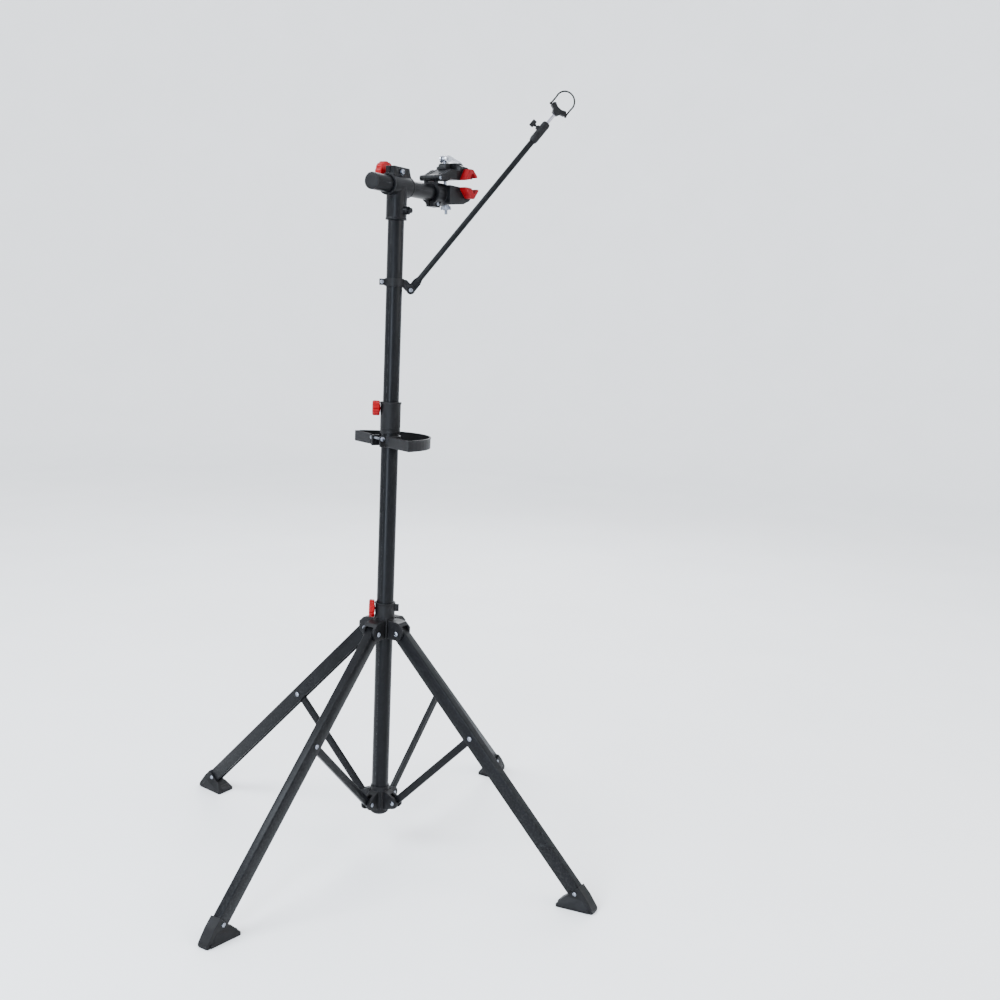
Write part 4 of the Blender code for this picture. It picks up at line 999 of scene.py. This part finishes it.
def add_arm():
    cast("mast_band", "arm_band", 0.0005, 5, 0.4)
    pivot = joint_at("arm_tilt")
    along = joint_axis("arm_extend")
    out = joint_axis("arm_tilt")
    place = stand_along(pivot, along, out.cross(along))
    high = span("arm_tube", pivot, along)[1]
    lug = arc(0, 0, 0.0085, 180, 360, 20)
    lug += [(0.0085, 0.0220), (0.0055, 0.0320), (-0.0055, 0.0320), (-0.0085, 0.0220)]
    tube = joined(slab(lug, 0.0044), rounded_rod(0.0060, 0.0240, high, 0.0004, 40))
    bore = rod(0.0042, 0.0500, high + 0.01, 32)
    tube = cut(tube, bore, turned_to_y(rod(0.0028, -0.02, 0.02, 24)))
    piece("arm_tube_barrel", moved(bevelled(tube, 0.0004), place), "arm_tube")
    low, high = span("arm_collar", pivot, along)
    collar = [(0.0063, low), (0.0074, low), (0.0078, low + 0.001), (0.0088, low + 0.006)]
    for groove in (0.012, 0.016, 0.033, 0.037):
        collar += [(0.0088, low + groove), (0.0083, low + groove + 0.0005)]
        collar += [(0.0083, low + groove + 0.001), (0.0088, low + groove + 0.0015)]
    collar += round_corner(0.0088, high - 0.0035, 0.0008, 1)[:2]
    collar += round_corner(0.0074, high, 0.0010, 1)
    collar += [(0.0036, high), (0.0036, high - 0.0097), (0.0063, high - 0.0097)]
    screw_line = stand_along(Vector((0, 0, ARM_SCREW_Z)), Vector((-1, 0, 0)))
    boss = moved(rounded_rod(0.0050, 0.0065, 0.0125, 0.0006), screw_line)
    collar = combined(lathe(collar, 48), boss, "UNION")
    collar = cut(collar, moved(rod(0.0023, 0.0050, 0.02, 20), screw_line))
    piece("arm_grip_collar", moved(collar, place), "arm_collar")
    low, high = span("arm_rod", pivot, along)
    piece("arm_inner_rod", moved(rounded_rod(0.0033, low, high, 0.0005, 32), place), "arm_rod")
    origin, axis = joint_at("arm_screw_turn"), joint_axis("arm_screw_turn")
    low, high = span("arm_screw", origin, axis)
    back = high - 0.0090
    profile = [(0, low), (0.0020, low), (0.0020, back - 0.0030)]
    profile += [(0.0030, back - 0.0030), (0.0030, back)]
    profile += arc(0.0064, back + 0.0014, 0.0014, -90, 0, 4)
    profile += arc(0.0064, high - 0.0014, 0.0014, 0, 90, 4) + [(0, high)]
    screw = lathe(profile, 80, 4, 0.0018, (back + 0.0001, high - 0.00002))
    piece("arm_thumb_screw", moved(screw, stand_along(origin, axis)), "arm_screw")
    cast("rod_cradle", "cradle", 0.0004, 5, 0.4)
    add_strap(pivot, along, place)


def add_strap(pivot, along, place):
    """The rubber loop, with a moulded bead on each of its ends."""
    low, high = span("cradle_strap", pivot, along)
    half = STRAP_HALF_WIDTH
    centre_z = high - STRAP_RADIUS - half
    line = [(-half, low), (-half, low + 0.005)]
    line += arc(0, centre_z, half, 200, -20, 48)
    line += [(half, low + 0.005), (half, low)]
    points = [place @ Vector((x, 0, z)) for x, z in line]
    loop = tube_along(smoothed(points, 3), STRAP_RADIUS, 16)
    profile = [(0, 0)] + round_corner(0.0026, 0, 0.0010, 0)
    profile += round_corner(0.0026, 0.0036, 0.0010, 1) + [(0, 0.0036)]
    beads = []
    for x in (-half, half):
        bead = shifted(lathe(profile, 24), x=x, z=low + 0.0004)
        beads.append(moved(bead, place))
    piece("cradle_loop", joined(loop, *beads), "cradle_strap")


def smoothed(points, rounds):
    """A line of points rounded off, with its ends kept."""
    for _ in range(rounds):
        triples = zip(points, points[1:], points[2:])
        inner = [(before + 2 * here + after) / 4 for before, here, after in triples]
        points = [points[0]] + inner + [points[-1]]
    return points


# Studio


def add_camera():
    camera = bpy.data.cameras.new("camera")
    camera.sensor_width = SENSOR_WIDTH
    camera.lens = CAMERA_LENS
    camera.clip_end = 60.0
    obj = bpy.data.objects.new("camera", camera)
    right = Vector(CAMERA_RIGHT)
    up = Vector(CAMERA_UP)
    right.normalize()
    up = (up - up.dot(right) * right).normalized()
    turn = Matrix((right, up, right.cross(up))).transposed().to_4x4()
    obj.matrix_world = Matrix.Translation(CAMERA_PLACE) @ turn
    bpy.context.scene.collection.objects.link(obj)
    bpy.context.scene.camera = obj


def add_light(name, location, target, size, power, colour):
    light = bpy.data.lights.new(name, "AREA")
    light.shape = "RECTANGLE"
    light.size, light.size_y = size
    light.energy = power
    light.color = colour
    obj = bpy.data.objects.new(name, light)
    obj.location = location
    direction = Vector(target) - Vector(location)
    obj.rotation_euler = direction.to_track_quat("-Z", "Y").to_euler()
    obj.visible_camera = False
    bpy.context.scene.collection.objects.link(obj)


def add_studio():
    """A pale round sweep, open at the top to a soft sky, and four softboxes."""
    profile = [(0, 0), (3.0, 0)] + arc(FLOOR_RADIUS, SWEEP_BEND, SWEEP_BEND, -90, 0, 12)
    profile += [(FLOOR_RADIUS + SWEEP_BEND, WALL_TOP)]
    bm = bmesh.new()
    segments = SWEEP_SEGMENTS
    rings = []
    for radius, z in profile:
        ring = []
        for step in range(segments if radius else 1):
            angle = 2 * math.pi * step / segments
            ring.append(bm.verts.new((radius * math.cos(angle), radius * math.sin(angle), z)))
        rings.append(ring)
    for ring, above in zip(rings, rings[1:]):
        for step in range(segments):
            after = (step + 1) % segments
            corners = [ring[step % len(ring)], ring[after % len(ring)]]
            corners += [above[after % len(above)], above[step % len(above)]]
            bm.faces.new(list(dict.fromkeys(corners)))
    for face in bm.faces:
        if face.normal.z < 0:
            face.normal_flip()
    mesh = bpy.data.meshes.new("studio_sweep")
    bm.to_mesh(mesh)
    bm.free()
    mesh.shade_smooth()
    floor = Surface("studio_floor")
    clouds = floor.ranged(floor.noise(2.2, 4.0), 0.3, 0.7)
    tone = floor.mixed(clouds, (0.88, 0.88, 0.88), (0.91, 0.91, 0.91))
    floor.link(tone, floor.shader.inputs["Base Color"])
    rough = floor.ranged(floor.noise(14.0, 3.0), 0.3, 0.7, 0.55, 0.70)
    floor.link(rough, floor.shader.inputs["Roughness"])
    mesh.materials.append(floor.material)
    sweep = bpy.data.objects.new("studio_sweep", mesh)
    bpy.context.scene.collection.objects.link(sweep)
    add_light("key_softbox", (-2.6, 1.6, 3.4), (0, 0, 0.9), (2.4, 2.0), 240, (0.84, 0.92, 1.0))
    add_light("strip_softbox", (-3.0, -0.7, 0.95), (0, 0, 0.95), (0.5, 1.9), 90, (0.72, 0.84, 1.0))
    add_light("fill_softbox", (0.6, -3.6, 2.4), (0, 0, 0.8), (2.6, 2.0), 80, (1.0, 0.98, 0.95))
    add_light("rim_softbox", (3.2, 1.4, 2.8), (0, 0, 1.0), (1.6, 2.2), 80, (0.95, 0.97, 1.0))
    world = bpy.data.worlds.new("soft_sky")
    world.use_nodes = True
    sky = world.node_tree.nodes["Background"]
    sky.inputs["Color"].default_value = (0.90, 0.94, 1.0, 1)
    sky.inputs["Strength"].default_value = 2.1
    bpy.context.scene.world = world


add_camera()
add_studio()
add_tubes()
add_post_collar()
add_rivets()
add_knobs()
add_bolts()
add_links()
add_hubs()
add_tray()
add_head()
add_clamp()
add_arm()
